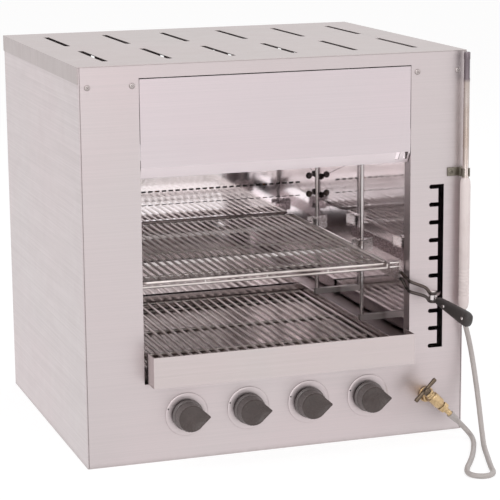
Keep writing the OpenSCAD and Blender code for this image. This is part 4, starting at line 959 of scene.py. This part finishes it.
# Floor, lamps and world
def make_floor():
    mesh = bpy.data.meshes.new("floor")
    size = 12
    mesh.from_pydata([(-size, -size, 0), (size, -size, 0), (size, size, 0), (-size, size, 0)], [], [(0, 1, 2, 3)])
    floor = bpy.data.objects.new("floor", mesh)
    scene.collection.objects.link(floor)
    material = bpy.data.materials.new("floor_paint")
    material.use_nodes = True
    tree = material.node_tree
    tree.nodes.clear()
    out = tree.nodes.new("ShaderNodeOutputMaterial")
    mix = tree.nodes.new("ShaderNodeMixShader")
    paint = tree.nodes.new("ShaderNodeBsdfDiffuse")
    paint.inputs["Color"].default_value = (0.92, 0.92, 0.92, 1)
    glow = tree.nodes.new("ShaderNodeEmission")
    glow.inputs["Color"].default_value = (1, 1, 1, 1)
    glow.inputs["Strength"].default_value = 1.22
    path = tree.nodes.new("ShaderNodeLightPath")
    share = tree.nodes.new("ShaderNodeMath")
    share.operation = "MAXIMUM"
    for i, (ray, part) in enumerate((("Is Camera Ray", 0.62), ("Is Glossy Ray", 0.9))):
        scaled = tree.nodes.new("ShaderNodeMath")
        scaled.operation = "MULTIPLY"
        scaled.inputs[1].default_value = part
        tree.links.new(path.outputs[ray], scaled.inputs[0])
        tree.links.new(scaled.outputs[0], share.inputs[i])
    tree.links.new(share.outputs[0], mix.inputs[0])
    tree.links.new(paint.outputs[0], mix.inputs[1])
    tree.links.new(glow.outputs[0], mix.inputs[2])
    tree.links.new(mix.outputs[0], out.inputs[0])
    mesh.materials.append(material)


make_floor()


def make_world():
    """White for the camera, a pale room for reflections, and soft light from all round."""
    world = bpy.data.worlds.new("studio")
    scene.world = world
    world.use_nodes = True
    tree = world.node_tree
    tree.nodes.clear()
    node = tree.nodes.new
    out = node("ShaderNodeOutputWorld")
    back = node("ShaderNodeBackground")
    light = node("ShaderNodeBackground")
    room = node("ShaderNodeBackground")
    back.inputs["Color"].default_value = (1, 1, 1, 1)
    light.inputs["Color"].default_value = (1.0, 0.985, 0.985, 1)
    light.inputs["Strength"].default_value = 0.62
    room.inputs["Strength"].default_value = 1.15
    path = node("ShaderNodeLightPath")
    place = node("ShaderNodeTexCoord")
    split = node("ShaderNodeSeparateXYZ")
    ramp = node("ShaderNodeValToRGB")
    shift = node("ShaderNodeMapRange")
    shift.inputs["From Min"].default_value = -1
    tree.links.new(place.outputs["Generated"], split.inputs[0])
    tree.links.new(split.outputs["Z"], shift.inputs["Value"])
    tree.links.new(shift.outputs["Result"], ramp.inputs["Fac"])
    ramp.color_ramp.elements[0].position = 0.40
    ramp.color_ramp.elements[0].color = (0.86, 0.84, 0.84, 1)
    ramp.color_ramp.elements[1].position = 0.62
    ramp.color_ramp.elements[1].color = (1.0, 1.0, 1.0, 1)
    tree.links.new(ramp.outputs["Color"], room.inputs["Color"])
    shiny = node("ShaderNodeMath")
    shiny.operation = "MAXIMUM"
    tree.links.new(path.outputs["Is Glossy Ray"], shiny.inputs[0])
    tree.links.new(path.outputs["Is Transmission Ray"], shiny.inputs[1])
    inner = node("ShaderNodeMixShader")
    outer = node("ShaderNodeMixShader")
    tree.links.new(shiny.outputs[0], inner.inputs[0])
    tree.links.new(light.outputs[0], inner.inputs[1])
    tree.links.new(room.outputs[0], inner.inputs[2])
    tree.links.new(path.outputs["Is Camera Ray"], outer.inputs[0])
    tree.links.new(inner.outputs[0], outer.inputs[1])
    tree.links.new(back.outputs[0], outer.inputs[2])
    tree.links.new(outer.outputs[0], out.inputs[0])


make_world()


def make_lamp(name, place, target, size, power):
    data = bpy.data.lights.new(name, "AREA")
    data.shape = "DISK"
    data.size = size
    data.energy = power
    lamp = bpy.data.objects.new(name, data)
    lamp.location = place
    lamp.rotation_euler = (Vector(target) - Vector(place)).to_track_quat("-Z", "Y").to_euler()
    scene.collection.objects.link(lamp)


make_lamp("key_lamp", (-1.6, -2.6, 2.6), (0, 0, 0.3), 1.6, 28)
make_lamp("top_lamp", (0.6, 0.4, 3.2), (0, 0, 0.4), 2.0, 13)
make_lamp("fill_lamp", (2.4, -2.0, 1.4), (0, 0, 0.3), 1.6, 10)
make_lamp("front_lamp", (-0.6, -3.6, 1.1), (0, 0, 0.28), 2.2, 14)

scene.view_settings.view_transform = "Standard"
